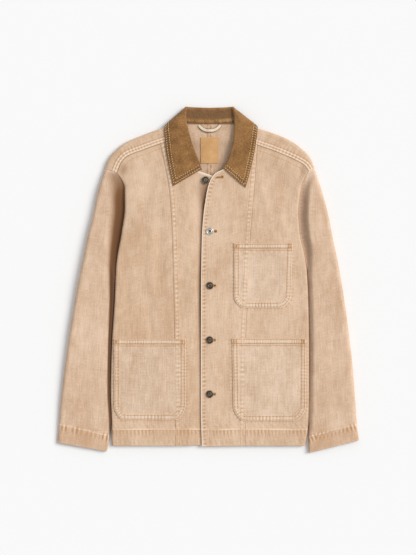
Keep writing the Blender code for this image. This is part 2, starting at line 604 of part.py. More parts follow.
def back(skin, half, front_seam):
    """Back half: hem to neck seam and shoulder fold, and over the fold to the forward seam."""
    side = half.side
    shoulder_count = len(front_seam) - 1

    def end(row):
        if row <= UNDERARM_MARK:
            return half.line(rise(row, HEM_Y, UNDERARM_Y, 0))
        return half.armhole((row - UNDERARM_MARK) / (1 - UNDERARM_MARK))

    def start(row):
        return np.array((CENTRE_X, HEM_Y + (NECK_Y - HEM_Y) * row))

    # Places along the top: the back neck, then the fold in step with the forward seam.
    seam_steps = np.linalg.norm(np.diff(np.array(front_seam)[:, :2], axis=0), axis=1)
    seam_places = np.concatenate([[0], np.cumsum(seam_steps)]) / seam_steps.sum()
    places = [BACK_NECK_SHARE * place for place in NECK_PLACES]
    places += [BACK_NECK_SHARE + (1 - BACK_NECK_SHARE) * t for t in seam_places[1:]]

    def top(c):
        if c <= BACK_NECK_SHARE:
            return half.neck_back(c / BACK_NECK_SHARE)
        return half.shoulder((c - BACK_NECK_SHARE) / (1 - BACK_NECK_SHARE))

    def columns(width):
        inner = places[:-3]
        scale = (1 - SIDE_ROLL / width) / places[-3]
        turn = [1 - SIDE_ROLL * step / width for step in ROLL_STEPS]
        return [c * scale for c in inner] + turn + [1.0]

    plan = []
    first = start(1.0)
    last = end(1.0)[:2]
    for row in BACK_ROWS:
        a = start(row)
        b = end(row)[:2]
        blend = ease((row - BACK_BLEND) / (1 - BACK_BLEND))
        across = columns(np.linalg.norm(b - a))
        line = []
        for c, c_top in zip(across, places):
            bend = top(c_top) - (first + (last - first) * c_top)
            share = c + (c_top - c) * blend
            line.append(a + (b - a) * share + bend * blend)
        plan.append(line)

    grid = []
    fold_line = plan[-1]
    for row, line in zip(BACK_ROWS, plan):
        points = []
        for k, (x, y) in enumerate(line):
            z = half.back_z(x, y)
            edge = end(row)
            if row <= UNDERARM_MARK or edge[2] > 0:
                gap = side * (edge[0] - x)
                reach = SIDE_ROLL if row < SHOULDER_CORNER_ROW else SHOULDER_CORNER_ROLL
                z = edge[2] + (z - edge[2]) * roll(gap, reach)
            nearest = fold_line[max(k, NECK_COLUMNS)]
            gap = np.linalg.norm(np.array((x, y)) - nearest)
            fold_z = (front_height(y) + half.back_z(*nearest)) / 2
            z = fold_z + (z - fold_z) * roll(gap, FOLD_ROLL)
            points.append((x, y, z))
        points[-1] = tuple(edge)
        grid.append(points)
    skin.patch(piece_name("back", half), grid, side > 0)
    fold = grid[-1][NECK_COLUMNS:]

    # Over the fold to the forward seam.
    wrap = [fold]
    for t in WRAP_ROWS:
        row = []
        for k, (low, high) in enumerate(zip(fold, front_seam)):
            low = np.array(low)
            high = np.array(high)
            place = low[:2] + (high[:2] - low[:2]) * t
            if k == 0:
                place = half.neck_side(t)
            gap = np.linalg.norm(place - low[:2])
            top_z = front_height(place[1])
            z = low[2] + (top_z - low[2]) * roll(gap, FOLD_ROLL)
            if k == shoulder_count:
                z = low[2] + (high[2] - low[2]) * roll(gap, SHOULDER_CORNER_ROLL)
            row.append((place[0], place[1], z))
        wrap.append(row)
    wrap.append(list(front_seam))
    skin.patch(piece_name("back", half), wrap, side > 0)
    return grid, wrap


SLEEVE_ROWS = 10         # rows of the sleeve between the underarm and the cuff
SLEEVE_ROW_LEAN = 25.0   # how much higher a row meets the outer fold than the inner one
SLEEVE_PART = 3.0        # how far in from the inner fold the two layers have parted
TOP_ROLL_STEPS = (24.0, 10.0, 3.0, 0.0)    # columns over and under the outer fold
UNDER_ROLL_STEPS = (10.0, 5.0, 2.0, 0.0)
FOLD_SHARE = 0.83        # share of the outer fold above the underarm that faces the front armhole


def sleeve(skin, half, back_grid, wrap, side_grid):
    """Sleeve: a top and an under layer joined at the outer fold and, below the armhole, the inner."""
    first = len(LOW_ROWS) - 1
    over = [row[-1] for row in side_grid[first:]]
    front_count = len(over) - 1
    over += [row[-1] for row in reversed(wrap[:-1])]
    under = [row[-1] for row in back_grid[first:]]
    shoulder = over[-1]
    low_y = UNDERARM_Y + SLEEVE_ROW_LEAN
    shares = [FOLD_SHARE * (p[1] - UNDERARM_Y) / (over[front_count][1] - UNDERARM_Y)
              for p in over[:front_count + 1]]
    shares += list(np.linspace(FOLD_SHARE, 1, len(over) - front_count))[1:]
    folds = []
    for share in shares:
        y = low_y + (shoulder[1] - low_y) * share
        folds.append((half.outer_x(y), y))
    for step in range(1, SLEEVE_ROWS + 1):
        t = step / SLEEVE_ROWS
        inner = tuple(half.inner(t))
        cuff = half.outer(1.0)
        y = low_y + (cuff[1] - low_y) * t
        over.insert(0, inner)
        under.insert(0, inner)
        folds.insert(0, (half.outer_x(y), y))
    top_grid = []
    under_grid = []
    for start_over, start_under, fold in zip(over, under, folds):
        top_grid.append(sleeve_line(half, start_over, fold, shoulder, True))
        under_grid.append(sleeve_line(half, start_under, fold, shoulder, False))
    piece = piece_name("sleeve", half)
    skin.patch(piece, top_grid, half.side < 0)
    skin.patch(piece, under_grid, half.side > 0)


def sleeve_line(half, start, fold, shoulder, on_top):
    """Points of one layer across the sleeve, from the armhole or the inner fold to the outer fold."""
    start = np.array(start, float)
    end = np.array(fold, float)
    if np.linalg.norm(start[:2] - np.array(shoulder)[:2]) < SMALL:
        return [tuple(shoulder)] * (len(TOP_ROLL_STEPS) + 6 if on_top else len(UNDER_ROLL_STEPS) + 4)
    width = np.linalg.norm(end - start[:2])
    if on_top:
        tucked = half.side * (half.line(min(start[1], half.line_top))[0] - start[0])
        clear = max(tucked + SLEEVE_CLEAR, 2 * SLEEVE_PART)
        swell = half.sleeve_rise(start[1])
        near = [0.0, SLEEVE_PART, clear, clear + swell / 2, clear + swell]
        far = TOP_ROLL_STEPS
    else:
        near = [0.0, SLEEVE_PART, width / 3]
        far = UNDER_ROLL_STEPS
    scale = min(1.0, width / (near[-1] + 1.4 * far[0]))
    near = [d * scale for d in near]
    far = [width - d * scale for d in far]
    points = []
    for distance in near + [(near[-1] + far[0]) / 2] + far:
        x, y = start[:2] + (end - start[:2]) * distance / width
        z = half.sleeve_z(x, y) if on_top else half.sleeve_under_z(x, y)
        points.append((x, y, z))
    points[0] = tuple(start)
    return points


def piece_name(kind, half):
    return kind + ("_left" if half.side > 0 else "_right")


# ---------------------------------------------------------------- collar

def collar_row(half, neck, along, roll_radius):
    """One section of the collar, from the neck seam over the roll to the free edge."""
    read = {name: float(at(along)) for name, at in half.collar.items()}
    apex = np.array((read["roll_x"], read["roll_y"], read["roll_z"]))
    edge = np.array((read["edge_x"], read["edge_y"], read["edge_z"]))
    turn = math.radians(read["turn"])
    inward = np.array((-half.side, 0.0, 0.0))
    back_way = np.array((0.0, 1.0, 0.0))
    lean = ease(read["turn"] / 90)
    out_of_roll = inward * (1 - lean) + back_way * lean
    fall_way = edge - apex
    fall_way[2] = 0
    out_of_roll = out_of_roll - 0.35 * (1 - lean) * fall_way / np.linalg.norm(fall_way)
    out_of_roll /= np.linalg.norm(out_of_roll)
    to_stand = np.array((0.0, 0.0, -1.0)) * math.cos(turn) + inward * math.sin(turn)
    centre = apex - out_of_roll * roll_radius
    stand_side = centre + to_stand * roll_radius
    fall_side = centre - to_stand * roll_radius
    middle = (fall_side + edge) / 2 - to_stand * read["arch"]
    quarter = (fall_side + middle) / 2 - to_stand * read["arch"] * 0.35
    last = (middle + edge) / 2 - to_stand * read["arch"] * 0.3
    half_stand = (neck + stand_side) / 2
    return [neck, half_stand, stand_side, apex, fall_side, quarter, middle, last, edge]


def collar_neck(half, centre_grid, wrap, back_grid):
    """Neck seam points with their share of its length, from the front end to centre back."""
    top = centre_grid[-1]
    steps = len(top) - 1
    first = int(round(NECK_SHARE * NECK_START * steps))
    last = int(round(NECK_SHARE * steps))
    front = [np.array(top[k]) for k in range(first, last + 1)]
    side = [np.array(row[0]) for row in reversed(wrap[:-1])]
    rear = [np.array(back_grid[-1][k]) for k in range(NECK_COLUMNS - 1, -1, -1)]
    corners = front + side + rear
    fold = len(front) + len(side) - 1
    steps = [0.0] + [float(np.linalg.norm(b - a)) for a, b in zip(corners, corners[1:])]
    length = np.cumsum(steps)
    ahead = FOLD_MARK * length / length[fold]
    behind = FOLD_MARK + (1 - FOLD_MARK) * (length - length[fold]) / (length[-1] - length[fold])
    marks = np.where(np.arange(len(corners)) <= fold, ahead, behind)
    shares = sorted(set(np.round(marks, 6)) | set(EXTRA_COLLAR_ROWS))
    points = [np.array([np.interp(share, marks, [p[i] for p in corners]) for i in range(3)])
              for share in shares]
    return points, shares


def collar_half(half, centre_grid, wrap, back_grid):
    """Rows of one half of the collar, from the front end to centre back."""
    points, shares = collar_neck(half, centre_grid, wrap, back_grid)
    rows = []
    for point, share in zip(points, shares):
        turn = math.radians(float(half.collar["turn"](share)))
        neck = point.copy()
        neck[2] -= COLLAR_SKIN * math.cos(turn)
        neck[0] -= half.side * (COLLAR_SKIN + COLLAR_SEAT) * math.sin(turn)
        neck[1] += COLLAR_SEAT * math.sin(turn)
        back_share = ease(math.degrees(turn) / 180)
        radius = COLLAR_ROLL_FRONT + (COLLAR_ROLL_BACK - COLLAR_ROLL_FRONT) * back_share
        rows.append(collar_row(half, neck, share, radius))
    return rows


# ---------------------------------------------------------------- lying pieces

def front_skin_point(half, x, y, lift):
    """A point of the front's outer face moved out by lift."""
    step = 1.0
    slope_x = (half.front_z(x + step, y) - half.front_z(x - step, y)) / (2 * step)
    slope_y = (half.front_z(x, y + step) - half.front_z(x, y - step)) / (2 * step)
    normal = np.array((-slope_x, -slope_y, 1.0))
    normal /= np.linalg.norm(normal)
    return np.array((x, y, half.front_z(x, y))) + normal * lift


def pocket_grid(half, pocket):
    """Patch pocket on the front's points, its lower corners cut round."""
    rows = []
    depth = pocket.top - pocket.bottom
    stops = [pocket.top - depth * t for t in (0, 0.2, 0.45, 0.7)]
    stops += [pocket.bottom + pocket.corner_y * t for t in (1.0, 0.42, 0.0)]
    for y in stops:
        t = (pocket.top - y) / depth
        left = pocket.left + (pocket.low_left - pocket.left) * t
        right = pocket.right + (pocket.low_right - pocket.right) * t
        down = min((y - pocket.bottom) / pocket.corner_y, 1.0)
        cut = pocket.corner_x * (1 - down) ** 1.6
        across = np.linspace(left + cut, right - cut, 7)
        rows.append([front_skin_point(half, x, y, LAY_GAP) for x in across])
    return rows


def sheet_wall(grid, thickness, flip):
    """Closed wall on a lone grid of points, its thickness outwards."""
    skin = Skin()
    skin.patch("sheet", grid, flip)
    normals = skin.normals()
    return skin.wall("sheet", normals, thickness, 0.0)


class Ground:
    """The upper faces of finished walls, on which other pieces are laid."""

    def __init__(self, walls):
        vertices = []
        polygons = []
        for wall_vertices, wall_polygons in walls:
            start = len(vertices)
            vertices += [Vector(v) for v in wall_vertices]
            polygons += [[i + start for i in polygon] for polygon in wall_polygons]
        self.tree = BVHTree.FromPolygons(vertices, polygons)

    def height(self, x, y):
        hit = self.tree.ray_cast(Vector((x, y, 100.0)), Vector((0, 0, -1)))
        return hit[0].z if hit[0] else 0.0


def label_grid(ground):
    """Neck label on the inside of the back."""
    width, height = LABEL_SIZE
    rows = []
    for y in np.linspace(LABEL_CENTRE[1] - height / 2, LABEL_CENTRE[1] + height / 2, 6):
        across = np.linspace(LABEL_CENTRE[0] - width / 2, LABEL_CENTRE[0] + width / 2, 4)
        rows.append([(x, y, ground.height(x, y) + LAY_GAP) for x in across])
    return rows


def loop_grid(ground):
    """Hanger loop: a tape from neck seam to neck seam that dips down the back."""
    rows = []
    for t in np.linspace(0, 1, 11):
        out = 2 * t - 1
        bow = 1 - abs(out) ** LOOP_SQUARE
        x = LOOP_ENDS[0] + (LOOP_ENDS[1] - LOOP_ENDS[0]) * t
        slope = 2 * LOOP_DIP * LOOP_SQUARE * abs(out) ** (LOOP_SQUARE - 1) / (LOOP_ENDS[1] - LOOP_ENDS[0])
        tilt = -math.copysign(math.atan(slope), out)
        middle = LOOP_TOP - LOOP_DIP * bow
        half_width = LOOP_WIDTH / 2
        line = []
        for side in (-1, 1):
            px = x + side * half_width * math.sin(tilt) * LOOP_LEAN
            py = middle + side * half_width * math.cos(tilt)
            base = ground.height(px, py) + LAY_GAP
            line.append((px, py, base + LOOP_LIFT * bow))
        rows.append(line)
    return rows


# ---------------------------------------------------------------- objects

def material(name, colour, roughness, metallic=0.0):
    """Plain finish for one piece."""
    made = bpy.data.materials.new(name)
    made.use_nodes = True
    shader = made.node_tree.nodes["Principled BSDF"]
    shader.inputs["Base Color"].default_value = (*colour, 1)
    shader.inputs["Roughness"].default_value = roughness
    shader.inputs["Metallic"].default_value = metallic
    made.diffuse_color = (*colour, 1)
    return made


def add_object(name, vertices, polygons, finish):
    """Mesh object from millimetre points, shaded smooth with its cut edges sharp."""
    mesh = bpy.data.meshes.new(name)
    mesh.from_pydata([tuple(float(c) * MM for c in v) for v in vertices], [], polygons)
    mesh.validate()
    mesh.shade_smooth()
    mesh.set_sharp_from_angle(angle=math.radians(50))
    mesh.materials.append(finish)
    made = bpy.data.objects.new(name, mesh)
    bpy.context.scene.collection.objects.link(made)
    return made


def turned(profile, centre, segments):
    """Closed solid turned about a vertical axis from (radius, height) rows, bottom to top."""
    cx, cy, cz = centre
    vertices = [(cx, cy, cz + profile[0][1])]
    polygons = []
    for radius, height in profile:
        for k in range(segments):
            angle = 2 * math.pi * k / segments
            vertices.append((cx + radius * math.cos(angle), cy + radius * math.sin(angle), cz + height))
    top = len(vertices)
    vertices.append((cx, cy, cz + profile[-1][1]))
    for k in range(segments):
        follow = (k + 1) % segments
        polygons.append([0, 1 + follow, 1 + k])
        for ring in range(len(profile) - 1):
            low = 1 + ring * segments
            high = low + segments
            polygons.append([low + k, low + follow, high + follow, high + k])
        last = 1 + (len(profile) - 1) * segments
        polygons.append([last + k, last + follow, top])
    return vertices, polygons


def add_button(button, finish):
    """Shank button: a shallow cap on a post that stands on the under front."""
    foot = RIGHT.front_z(button.x, button.y) + LAY_GAP
    post = OPEN_SHANK
    if button.fastened:
        post = LEFT.front_z(button.x, button.y) + LAY_GAP - foot
    radius = BUTTON_DIAMETER / 2
    profile = (
        (SHANK_DIAMETER / 2, 0.0), (SHANK_DIAMETER / 2, post), (radius - 0.6, post),
        (radius, post + 0.7), (radius, post + BUTTON_CAP - 1.2), (radius - 0.8, post + BUTTON_CAP - 0.3),
        (radius - 2.0, post + BUTTON_CAP), (radius - 3.0, post + BUTTON_CAP - 0.6))
    vertices, polygons = turned(profile, (button.x, button.y, foot), 20)
    add_object(button.name, vertices, polygons, finish)


def cut_buttonholes(panel):
    """Slots in the over front, one for each button."""
    holes = [(b.x + HOLE_LENGTH / 2 - HOLE_START, b.y) for b in BUTTONS if b.fastened]
    holes.append(TOP_HOLE)
    vertices = []
    polygons = []
    for x, y in holes:
        z = LEFT.front_z(x, y)
        start = len(vertices)
        for dz in (-6, 6):
            for dx, dy in ((-1, -1), (1, -1), (1, 1), (-1, 1)):
                vertices.append((x + dx * HOLE_LENGTH / 2, y + dy * HOLE_WIDTH / 2, z + dz))
        box = ((3, 2, 1, 0), (4, 5, 6, 7), (0, 1, 5, 4), (1, 2, 6, 5), (2, 3, 7, 6), (3, 0, 4, 7))
        polygons += [[start + i for i in face] for face in box]
    cutter = add_object("buttonhole_cutter", vertices, polygons, panel.data.materials[0])
    cutter.hide_render = True
    cutter.display_type = "WIRE"
    cut = panel.modifiers.new("buttonholes", "BOOLEAN")
    cut.operation = "DIFFERENCE"
    cut.solver = "EXACT"
    cut.object = cutter


# ---------------------------------------------------------------- the jacket

for old in list(bpy.data.objects):
    bpy.data.objects.remove(old, do_unlink=True)

denim = material("denim", (0.69, 0.48, 0.33), 0.92)
cord = material("collar_cord", (0.28, 0.16, 0.07), 0.95)
tape = material("loop_tape", (0.86, 0.72, 0.56), 0.85)
patch_label = material("label", (0.62, 0.38, 0.18), 0.7)
metal = material("button_metal", (0.10, 0.08, 0.06), 0.45, 1.0)

body = Skin()
collar_skin = Skin()
collar_halves = []
for side_half, free_edge in ((RIGHT, UNDER_EDGE), (LEFT, OVER_EDGE)):
    side_rows = side_front(body, side_half)
    centre_rows = centre_front(body, side_half, free_edge, side_rows)
    shoulder_line = centre_rows[-1][int(round(NECK_SHARE * CENTRE_COLUMNS)):-1] + side_rows[-1]
    back_rows, wrap_rows = back(body, side_half, shoulder_line)
    sleeve(body, side_half, back_rows, wrap_rows, side_rows)
    collar_halves.append(collar_half(side_half, centre_rows, wrap_rows, back_rows))

body_normals = body.normals()
walls = {}
for piece_key in list(body.faces):
    walls[piece_key] = body.wall(piece_key, body_normals, 0.0, -DENIM)
    made_piece = add_object(piece_key, *walls[piece_key], denim)
    if piece_key == "centre_front_left":
        cut_buttonholes(made_piece)

collar_skin.patch("collar", collar_halves[0] + collar_halves[1][::-1][1:], True)
collar_normals = collar_skin.normals()
for name, outer_face, inner_face, finish in (
        ("collar_upper", COLLAR_SKIN, COLLAR_HALF_GAP, cord),
        ("collar_under", -COLLAR_HALF_GAP, -COLLAR_SKIN, denim)):
    add_object(name, *collar_skin.wall("collar", collar_normals, outer_face, inner_face), finish)

for pocket_row in POCKETS:
    pocket_half = LEFT if pocket_row.side > 0 else RIGHT
    add_object(pocket_row.name, *sheet_wall(pocket_grid(pocket_half, pocket_row), DENIM, True), denim)

back_ground = Ground([walls["back_right"], walls["back_left"]])
add_object("neck_label", *sheet_wall(label_grid(back_ground), LABEL_PLY, False), patch_label)
add_object("hanger_loop", *sheet_wall(loop_grid(back_ground), LOOP_PLY, True), tape)
for button_row in BUTTONS:
    add_button(button_row, metal)
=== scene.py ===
"""Washed denim barn jacket, laid flat on a pale table with its front up.

The work goes on in millimetres, in the frame of the solids, and is scaled to metres when a mesh is made.
"""

import math

import bpy
import numpy as np
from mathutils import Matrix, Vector
from mathutils.bvhtree import BVHTree


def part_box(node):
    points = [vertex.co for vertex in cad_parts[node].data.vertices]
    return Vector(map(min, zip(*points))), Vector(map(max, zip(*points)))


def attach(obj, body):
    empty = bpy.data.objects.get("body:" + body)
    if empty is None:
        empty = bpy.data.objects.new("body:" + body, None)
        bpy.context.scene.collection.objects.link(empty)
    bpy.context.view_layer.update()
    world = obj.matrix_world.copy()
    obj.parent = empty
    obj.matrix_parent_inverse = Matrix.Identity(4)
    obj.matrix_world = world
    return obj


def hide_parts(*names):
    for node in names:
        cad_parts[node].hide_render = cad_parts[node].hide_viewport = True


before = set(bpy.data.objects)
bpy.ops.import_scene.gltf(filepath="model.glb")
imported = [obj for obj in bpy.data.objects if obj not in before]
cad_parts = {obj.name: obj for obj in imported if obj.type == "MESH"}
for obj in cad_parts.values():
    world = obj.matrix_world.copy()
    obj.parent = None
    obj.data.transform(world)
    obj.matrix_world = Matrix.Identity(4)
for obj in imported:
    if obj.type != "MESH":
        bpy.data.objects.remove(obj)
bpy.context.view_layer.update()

MM = 0.001
scene = bpy.context.scene

# ---------------------------------------------------------------- camera, floor and light
# A product picture taken from straight above: a long lens, a white floor, one large soft light about
# forty degrees up on the right, and white light from all round.

VIEW_HEIGHT = 3.0                # metres from the lens to the cloth
VIEW_TALL = 1.26                 # metres of floor from the bottom of the picture to its top
FRAME_MIDDLE = (0.0011, 0.0045)

camera_data = bpy.data.cameras.new("camera")
camera_data.lens = 36.0 * VIEW_HEIGHT / VIEW_TALL
camera = bpy.data.objects.new("camera", camera_data)
camera.location = (*FRAME_MIDDLE, VIEW_HEIGHT + 0.012)
scene.collection.objects.link(camera)
scene.camera = camera

sun_data = bpy.data.lights.new("key", "SUN")
sun_data.energy = 2.35
sun_data.angle = math.radians(32)
sun_data.color = (1.0, 0.985, 0.965)
sun = bpy.data.objects.new("key", sun_data)
sun.rotation_euler = Vector((0.66, 0.28, 0.64)).to_track_quat("Z", "Y").to_euler()
scene.collection.objects.link(sun)

world = bpy.data.worlds.new("studio")
scene.world = world
world.use_nodes = True
sky = world.node_tree.nodes["Background"].inputs
sky["Color"].default_value = (0.97, 0.985, 1.0, 1)
sky["Strength"].default_value = 0.573
scene.view_settings.view_transform = "Standard"

bpy.ops.object.select_all(action="DESELECT")
bpy.ops.mesh.primitive_plane_add(size=8.0, location=(0, 0, -0.0002))
floor = bpy.context.object
floor.name = "floor"
floor_finish = bpy.data.materials.new("white_floor")
floor_finish.use_nodes = True
floor_surface = floor_finish.node_tree.nodes["Principled BSDF"].inputs
floor_surface["Base Color"].default_value = (0.90, 0.90, 0.90, 1)
floor_surface["Roughness"].default_value = 0.9
floor_surface["Specular IOR Level"].default_value = 0.0
floor.data.materials.append(floor_finish)

# ---------------------------------------------------------------- back
# Two halves of 14 oz denim, felled together down the middle. Each runs up over the shoulder fold to the
# forward shoulder seam, and lies on the table with the sleeve's inner part under its side.

DENIM = 1.5                      # wall of washed denim
CENTRE_X = 4.5                   # the centre back seam
HEM_Y = -378.0
UNDERARM_Y = 17.0
SIDE_ROLL = 6.0                  # reach of the body's round side
FOLD_ROLL = 8.0                  # reach of the round shoulder fold
SIDE_LIFT = 4.7                  # the back's side over the sleeve under it
NECK_LIFT = 4.9                  # the back's neck over the collar's fall under it
PLACKET_DROP = 2.1               # from the over front down to the under front
UNDERARM_MARK = 0.62             # share of a panel's rows that is below the underarm
BACK_ROW_OUT = 3.2               # from the centre back seam to each of its rows of stitches


def ease(t):
    """0 below 0, 1 above 1, and a soft S between them."""
    t = np.clip(t, 0.0, 1.0)
    return t * t * (3 - 2 * t)


def hump(distance, width):
    """1 at no distance, falling off softly within about a width on either side."""
    return np.exp(-((distance / width) ** 2))


def curve(knots, values):
    """Smooth line through values at rising knots."""
    knots = np.asarray(knots, float)
    values = np.asarray(values, float)
    plain = values.ndim == 1
    if plain:
        values = values[:, None]
    rises = np.diff(values, axis=0) / np.diff(knots)[:, None]
    before = rises[:-1]
    after = rises[1:]
    same = before * after > 0
    middle = np.where(same, 2 * before * after / np.where(same, before + after, 1), 0)
    slopes = np.vstack([rises[:1], middle, rises[-1:]])

    def at(t):
        t = np.clip(np.asarray(t, float), knots[0], knots[-1])
        i = np.clip(np.searchsorted(knots, t, side="right") - 1, 0, len(knots) - 2)
        step = (knots[i + 1] - knots[i])[..., None]
        s = (t - knots[i])[..., None] / step
        bend = values[i] * (1 + 2 * s) * (1 - s) ** 2 + values[i + 1] * s * s * (3 - 2 * s)
        bend = bend + step * s * (1 - s) * (slopes[i] * (1 - s) - slopes[i + 1] * s)
        return bend[..., 0] if plain else bend

    return at


def lengths(points):
    """Distance along a line of points, from 0."""
    steps = np.linalg.norm(np.diff(np.asarray(points, float), axis=0), axis=1)
    return np.concatenate([[0.0], np.cumsum(steps)])


def path(points):
    """Smooth line through points, whose argument runs from 0 to 1 along its length."""
    along = lengths(points)
    return curve(along / along[-1], points)


def over_y(points, pick=None):
    """The same points as a function of their y."""
    rows = sorted(points, key=lambda row: row[1])
    values = [row if pick is None else row[pick] for row in rows]
    return curve([row[1] for row in rows], values)


def roll(distance, reach):
    """Rise of a round edge: 0 on the edge, 1 from reach inwards."""
    q = np.clip(distance / reach, 0.0, 1.0)
    return np.sqrt(1 - (1 - q) ** 2)


def arc_steps(count):
    """Shares of a roll's reach at even angles round it, from its inner end to its edge."""
    return 1 - np.cos(np.linspace(math.pi / 2, 0, count + 1))


# Top of the front above the table, from the hem up.
front_height = curve((-378, -340, -250, -130, 0, 120, 210, 260, 380),
                     (9.6, 11.2, 13.2, 14.6, 15.4, 15.4, 14.8, 14.4, 14.4))

# The widest folds, and the softer creases between them: from, to, half width and depth; a negative depth
# is a ridge.
FOLDS = (
    (-122, 270, -152, 120, 17, 1.6), (-148, 90, -142, -90, 18, 1.2),
    (126, 285, 140, 190, 16, 1.6), (150, 262, 186, 165, 16, 1.8),
    (-108, 190, -110, -60, 12, 1.5), (-126, 170, -130, -60, 9, -0.7), (-165, 190, -150, 20, 10, -0.7),
    (-88, 250, -96, 90, 10, -0.6), (-134, -40, -128, -134, 8, 1.3), (-36, 236, -28, 150, 10, 1.0),
    (-50, 60, -44, -190, 12, 0.7), (-30, 120, -34, -60, 8, -0.4), (-190, 80, -178, -110, 11, 0.8),
    (124, 240, 139, 80, 8, -0.7), (158, 215, 168, 110, 9, -0.8), (176, 150, 196, 108, 10, 1.3),
    (104, 262, 112, 150, 8, 0.9), (30, 150, 34, -60, 11, 0.7), (52, 190, 58, 92, 10, -0.5),
    (128, -66, 118, -128, 12, 0.7), (36, -150, 30, -330, 10, 0.6), (205, 40, 208, -120, 9, 0.7),
    (-60, -300, -40, -345, 14, 0.8), (150, -330, 190, -345, 12, 0.7), (64, -20, 60, -128, 10, -0.4),
)


def crease_depth(x, y, creases, wander=2.5, beat=31, fade_out=0.3):
    """Depth at a place of soft creases that wander a little and die away at both ends."""
    depth = np.zeros_like(x)
    for x1, y1, x2, y2, half_width, deep in creases:
        length = math.hypot(x2 - x1, y2 - y1)
        along = ((x - x1) * (x2 - x1) + (y - y1) * (y2 - y1)) / length
        across = ((x - x1) * (y2 - y1) - (y - y1) * (x2 - x1)) / length + wander * np.sin(along / beat + x1)
        fade = ease(along / (fade_out * length)) * ease((length - along) / (fade_out * length))
        depth += deep * fade * hump(across, half_width)
    return depth


class Half:
    """The lines and heights of one half of the garment; side is -1 for the wearer's right."""

    def __init__(self, side, line, armhole, shoulder, seam, necks, panel, outer, inner, sleeve):
        self.side = side
        self.name = "_left" if side > 0 else "_right"
        self.line = curve([r[0] for r in line], [(r[1], r[0], r[2]) for r in line])
        self.line_top = line[-1][0]
        self.armhole = path([(r[1], r[0], r[2]) for r in armhole])
        self.shoulder = path(shoulder)
        self.seam = path(seam)
        self.neck_front, self.neck_side, self.neck_back = [path(neck) for neck in necks]
        self.panel = path(panel)
        self.outer = path(outer)
        self.outer_x = over_y(outer, 0)
        self.inner = path(inner)
        self.inner_x = over_y(inner, 0)
        self.sleeve_top = curve([r[0] for r in sleeve], [r[1] for r in sleeve])
        self.sleeve_rise = curve([r[0] for r in sleeve], [r[2] for r in sleeve])

    def front_z(self, x, y):
        """Outer face of the front, with the roll at its side."""
        edge = self.line(y)
        under = ease((x + 46) / 26) if self.side < 0 else 0.0
        top = front_height(y) - crease_depth(x, y, FOLDS) - PLACKET_DROP * under * ease((275 - y) / 30)
        return edge[..., 2] + (top - edge[..., 2]) * roll(self.side * (edge[..., 0] - x), SIDE_ROLL)

    def back_z(self, x, y):
        """Outer face of the back: on the table, or lifted over what is under it."""
        under_body = ease((self.side * (x - self.inner_x(y)) + 66) / 38) * ease((64 - y) / 40)
        under_body = under_body * (0.3 + 0.7 * ease((y + 385) / 50))
        near_neck = ease((y - 296) / 24) * ease((132 - np.abs(x - CENTRE_X)) / 26)
        return SIDE_LIFT * under_body + NECK_LIFT * near_neck


RIGHT = Half(
    -1,
    ((-378, -217.5, 5.8), (-326, -218.0, 8.0), (-253, -220.5, 9.0), (-150, -218.0, 9.7),
     (-46, -211.5, 10.0), (17, -209.0, 9.0), (28, -208.0, 10.8), (53, -205.0, 10.3), (106, -195.5, 9.0),
     (167, -188.0, 9.0), (208, -188.0, 10.0), (230, -197.0, 12.3), (241.5, -206.6, 13.8)),
    ((17, -209.0, 9.0), (27, -207.0, 4.6), (45, -203.0, 2.4), (80, -196.0, 0.0), (130, -190.0, 0.0),
     (180, -192.0, 0.0), (220, -206.0, 0.0), (241, -222.0, 0.0), (251, -233.6, 7.5)),
    ((-62, 360.5), (-79, 352.5), (-97, 345.0), (-119.2, 338.6), (-153.2, 325.7), (-185, 312.1),
     (-203.2, 298.5), (-216.8, 284.9), (-225.9, 271.3), (-233.6, 251)),
    ((-56, 325), (-107.8, 308), (-146.9, 294), (-183, 279.4), (-196.5, 264.9), (-206.6, 241.5)),
    (((-21, 246.5), (-31, 264), (-41, 284), (-50, 306), (-56, 325)),
     ((-62, 360.5), (-60, 350), (-57.5, 338), (-56, 325)),
     ((CENTRE_X, 354), (-22, 354.8), (-44, 356.5), (-62, 360.5))),
    ((-72.9, -378), (-73.5, -300), (-75.4, -92), (-78.5, 40), (-81.7, 135), (-87, 203), (-107.8, 308)),
    ((-233.6, 251), (-248.6, 203), (-259.9, 148.7), (-273.5, 94.2), (-284.9, 39.7), (-296.2, -14.8),
     (-305.3, -69.2), (-314.4, -123.7), (-322.0, -178.2), (-328.8, -232.7), (-334.8, -287.2),
     (-339.4, -341.6), (-341.9, -370.7)),
    ((-209, 17, 9.0), (-208.5, 4, 4.0), (-206.5, -15, 2.1), (-198, -55, 2.1), (-187, -100, 2.1),
     (-182, -160, 2.1), (-188, -230, 2.1), (-206, -300, 2.1), (-218.5, -330, 2.1), (-221.5, -350, 2.1),
     (-229, -391, 2.1)),
    ((-392, 8, 10), (-345, 10.5, 12), (-280, 14, 14), (-180, 17, 15), (-60, 18.5, 16), (40, 19.5, 21),
     (150, 19, 24), (215, 17, 20), (250, 14.6, 14)))
